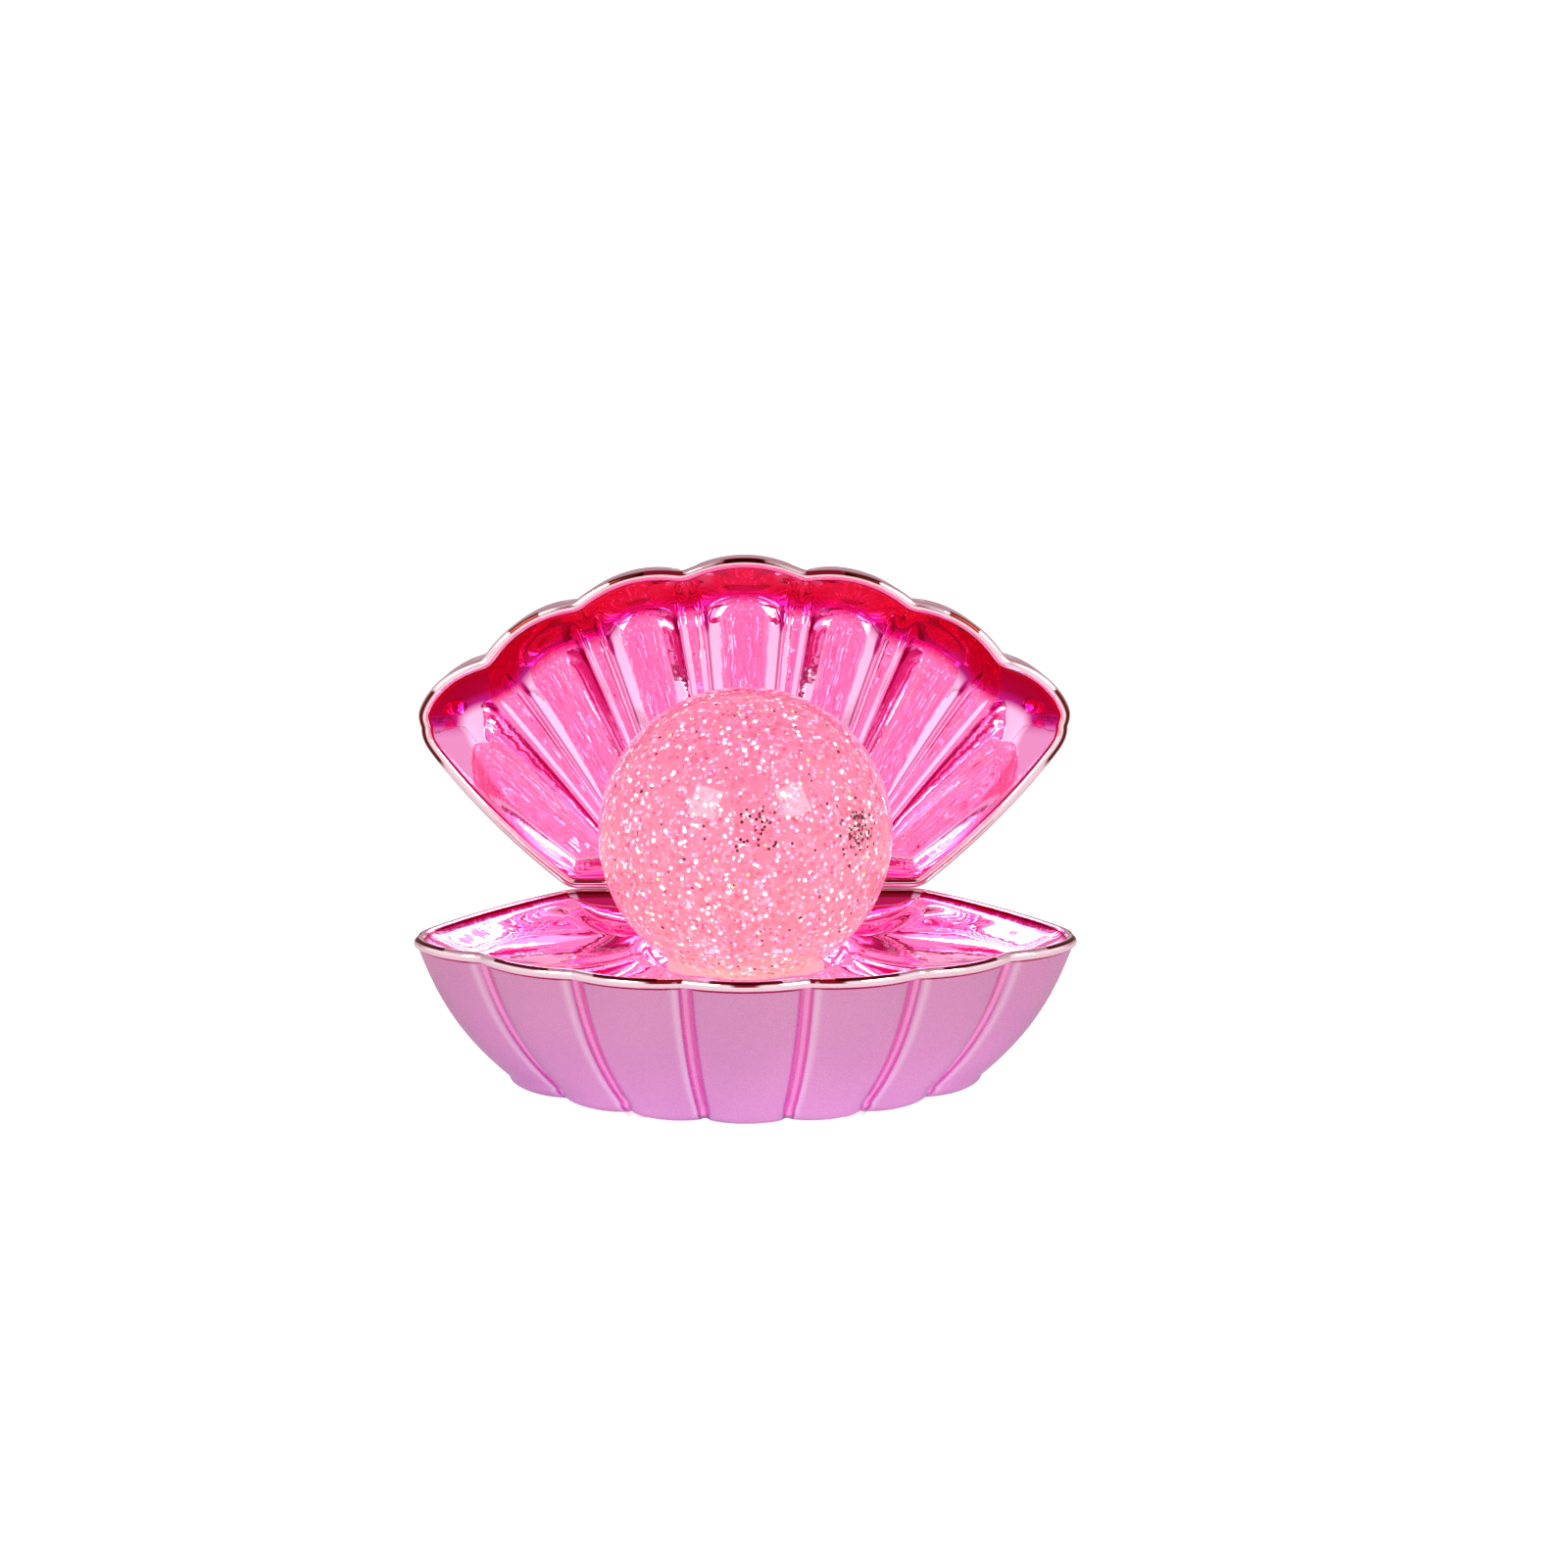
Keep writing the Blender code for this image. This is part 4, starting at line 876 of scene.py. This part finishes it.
# ------------------------------------------------------------------------------------------------
# studio
# ------------------------------------------------------------------------------------------------
CAMERA_DISTANCE, CAMERA_RISE, CAMERA_YAW = 2.0, math.radians(15.2), math.radians(-0.5)
CAMERA_TARGET = (10.0, FRAME_Y - 40.0, 82.0)
VIEW_WIDTH = 1600 * 0.2526     # mm across the picture at the target
SENSOR = 36.0
SOFT_RISE, SOFT_DISTANCE, SOFT_SIZE, SOFT_RADIANCE = 36.0, 1.3, 0.50, 8.5


def one_sided(mat):
    """Seen from its back face the surface is clear, so views from below stay open."""
    nodes, links, shader = nodes_of(mat)
    out = nodes["Material Output"]
    mix = nodes.new("ShaderNodeMixShader")
    clear = nodes.new("ShaderNodeBsdfTransparent")
    side = nodes.new("ShaderNodeNewGeometry")
    links.new(side.outputs["Backfacing"], mix.inputs["Fac"])
    links.new(shader.outputs["BSDF"], mix.inputs[1])
    links.new(clear.outputs["BSDF"], mix.inputs[2])
    links.new(mix.outputs["Shader"], out.inputs["Surface"])


def studio():
    """Pale floor, and a pale surrounding that is darker behind, above and in a gap in front."""
    bpy.ops.mesh.primitive_circle_add(vertices=96, radius=4.0, fill_type="NGON",
                                      location=(0, 0, -0.0002))
    floor = bpy.context.object
    floor.name = "floor"
    white = finish_of("white_sweep", grey(0.68), 0.9, Emission_Color=(1.0, 1.0, 1.0, 1.0))
    one_sided(white)
    nodes, links, shader = nodes_of(white)
    path = nodes.new("ShaderNodeLightPath")
    lift = nodes.new("ShaderNodeMapRange")
    lift.inputs["To Min"].default_value = 0.14
    lift.inputs["To Max"].default_value = 1.0
    links.new(path.outputs["Is Camera Ray"], lift.inputs["Value"])
    links.new(lift.outputs["Result"], shader.inputs["Emission Strength"])
    floor.data.materials.append(white)

    world = bpy.data.worlds.new("studio")
    bpy.context.scene.world = world
    world.use_nodes = True
    nodes, links = world.node_tree.nodes, world.node_tree.links
    nodes.clear()
    place = nodes.new("ShaderNodeTexCoord")
    split = nodes.new("ShaderNodeSeparateXYZ")
    links.new(place.outputs["Generated"], split.inputs["Vector"])

    def ranged(source, low, high, to_low, to_high):
        node = nodes.new("ShaderNodeMapRange")
        node.interpolation_type = "SMOOTHSTEP"
        for key, value in (("From Min", low), ("From Max", high),
                           ("To Min", to_low), ("To Max", to_high)):
            node.inputs[key].default_value = value
        links.new(source, node.inputs["Value"])
        return node.outputs["Result"]

    def maths(operation, a, b):
        node = nodes.new("ShaderNodeMath")
        node.operation = operation
        for socket, value in zip(node.inputs, (a, b)):
            if isinstance(value, float):
                socket.default_value = value
            else:
                links.new(value, socket)
        return node.outputs["Value"]

    aside = maths("ABSOLUTE", split.outputs["X"], 0.0)
    gap = ranged(aside, 0.12, 0.24, 1.0, 0.0)
    gap = maths("MULTIPLY", gap, ranged(split.outputs["Z"], 0.10, 0.22, 0.0, 1.0))
    gap = maths("MULTIPLY", gap, ranged(split.outputs["Y"], 0.20, 0.50, 1.0, 0.0))
    behind = ranged(split.outputs["Y"], 0.05, 0.5, 1.0, 0.42)
    ceiling = ranged(split.outputs["Z"], 0.62, 0.80, 1.0, 0.45)
    level = maths("MULTIPLY", maths("MULTIPLY", behind, ceiling), maths("SUBTRACT", 1.0, gap))
    seen = nodes.new("ShaderNodeLightPath")
    shade = nodes.new("ShaderNodeMix")
    shade.data_type = "FLOAT"
    links.new(seen.outputs["Is Camera Ray"], shade.inputs[0])
    links.new(level, shade.inputs[2])
    shade.inputs[3].default_value = 1.0
    back = nodes.new("ShaderNodeBackground")
    tint = nodes.new("ShaderNodeMix")
    tint.data_type = "RGBA"
    tint.inputs[6].default_value = (0.22, 0.008, 0.02, 1.0)
    tint.inputs[7].default_value = (1.0, 1.0, 1.0, 1.0)
    links.new(shade.outputs[0], tint.inputs["Factor"])
    links.new(tint.outputs[2], back.inputs["Color"])
    out = nodes.new("ShaderNodeOutputWorld")
    links.new(back.outputs["Background"], out.inputs["Surface"])


def soft_light(name, azimuth):
    """A square soft box aimed at the lamp; azimuth 0 is in front, positive to the right."""
    data = bpy.data.lights.new(name, "AREA")
    data.shape = "RECTANGLE"
    data.size = data.size_y = SOFT_SIZE
    data.energy = SOFT_RADIANCE * math.pi * SOFT_SIZE * SOFT_SIZE
    lamp = bpy.data.objects.new(name, data)
    bpy.context.scene.collection.objects.link(lamp)
    turn, rise = math.radians(azimuth), math.radians(SOFT_RISE)
    spot = Vector((math.sin(turn) * math.cos(rise), -math.cos(turn) * math.cos(rise),
                   math.sin(rise)))
    lamp.location = Vector((0.0, 0.0, 0.06)) + spot * SOFT_DISTANCE
    lamp.rotation_euler = (-spot).to_track_quat("-Z", "Y").to_euler()
    lamp.visible_camera = False


def camera():
    """Slightly from above and nearly straight in front."""
    data = bpy.data.cameras.new("camera")
    data.sensor_width = SENSOR
    data.lens = SENSOR * CAMERA_DISTANCE / (VIEW_WIDTH * MM)
    data.clip_start, data.clip_end = 0.05, 50.0
    back = Vector((math.sin(CAMERA_YAW) * math.cos(CAMERA_RISE),
                   -math.cos(CAMERA_YAW) * math.cos(CAMERA_RISE), math.sin(CAMERA_RISE)))
    eye = bpy.data.objects.new("camera", data)
    bpy.context.scene.collection.objects.link(eye)
    eye.location = Vector(CAMERA_TARGET) * MM + back * CAMERA_DISTANCE
    eye.rotation_euler = (-back).to_track_quat("-Z", "Y").to_euler()
    bpy.context.scene.camera = eye


studio()
soft_light("soft_left", -38.0)
soft_light("soft_right", 46.0)
camera()
bpy.context.scene.view_settings.view_transform = "Standard"
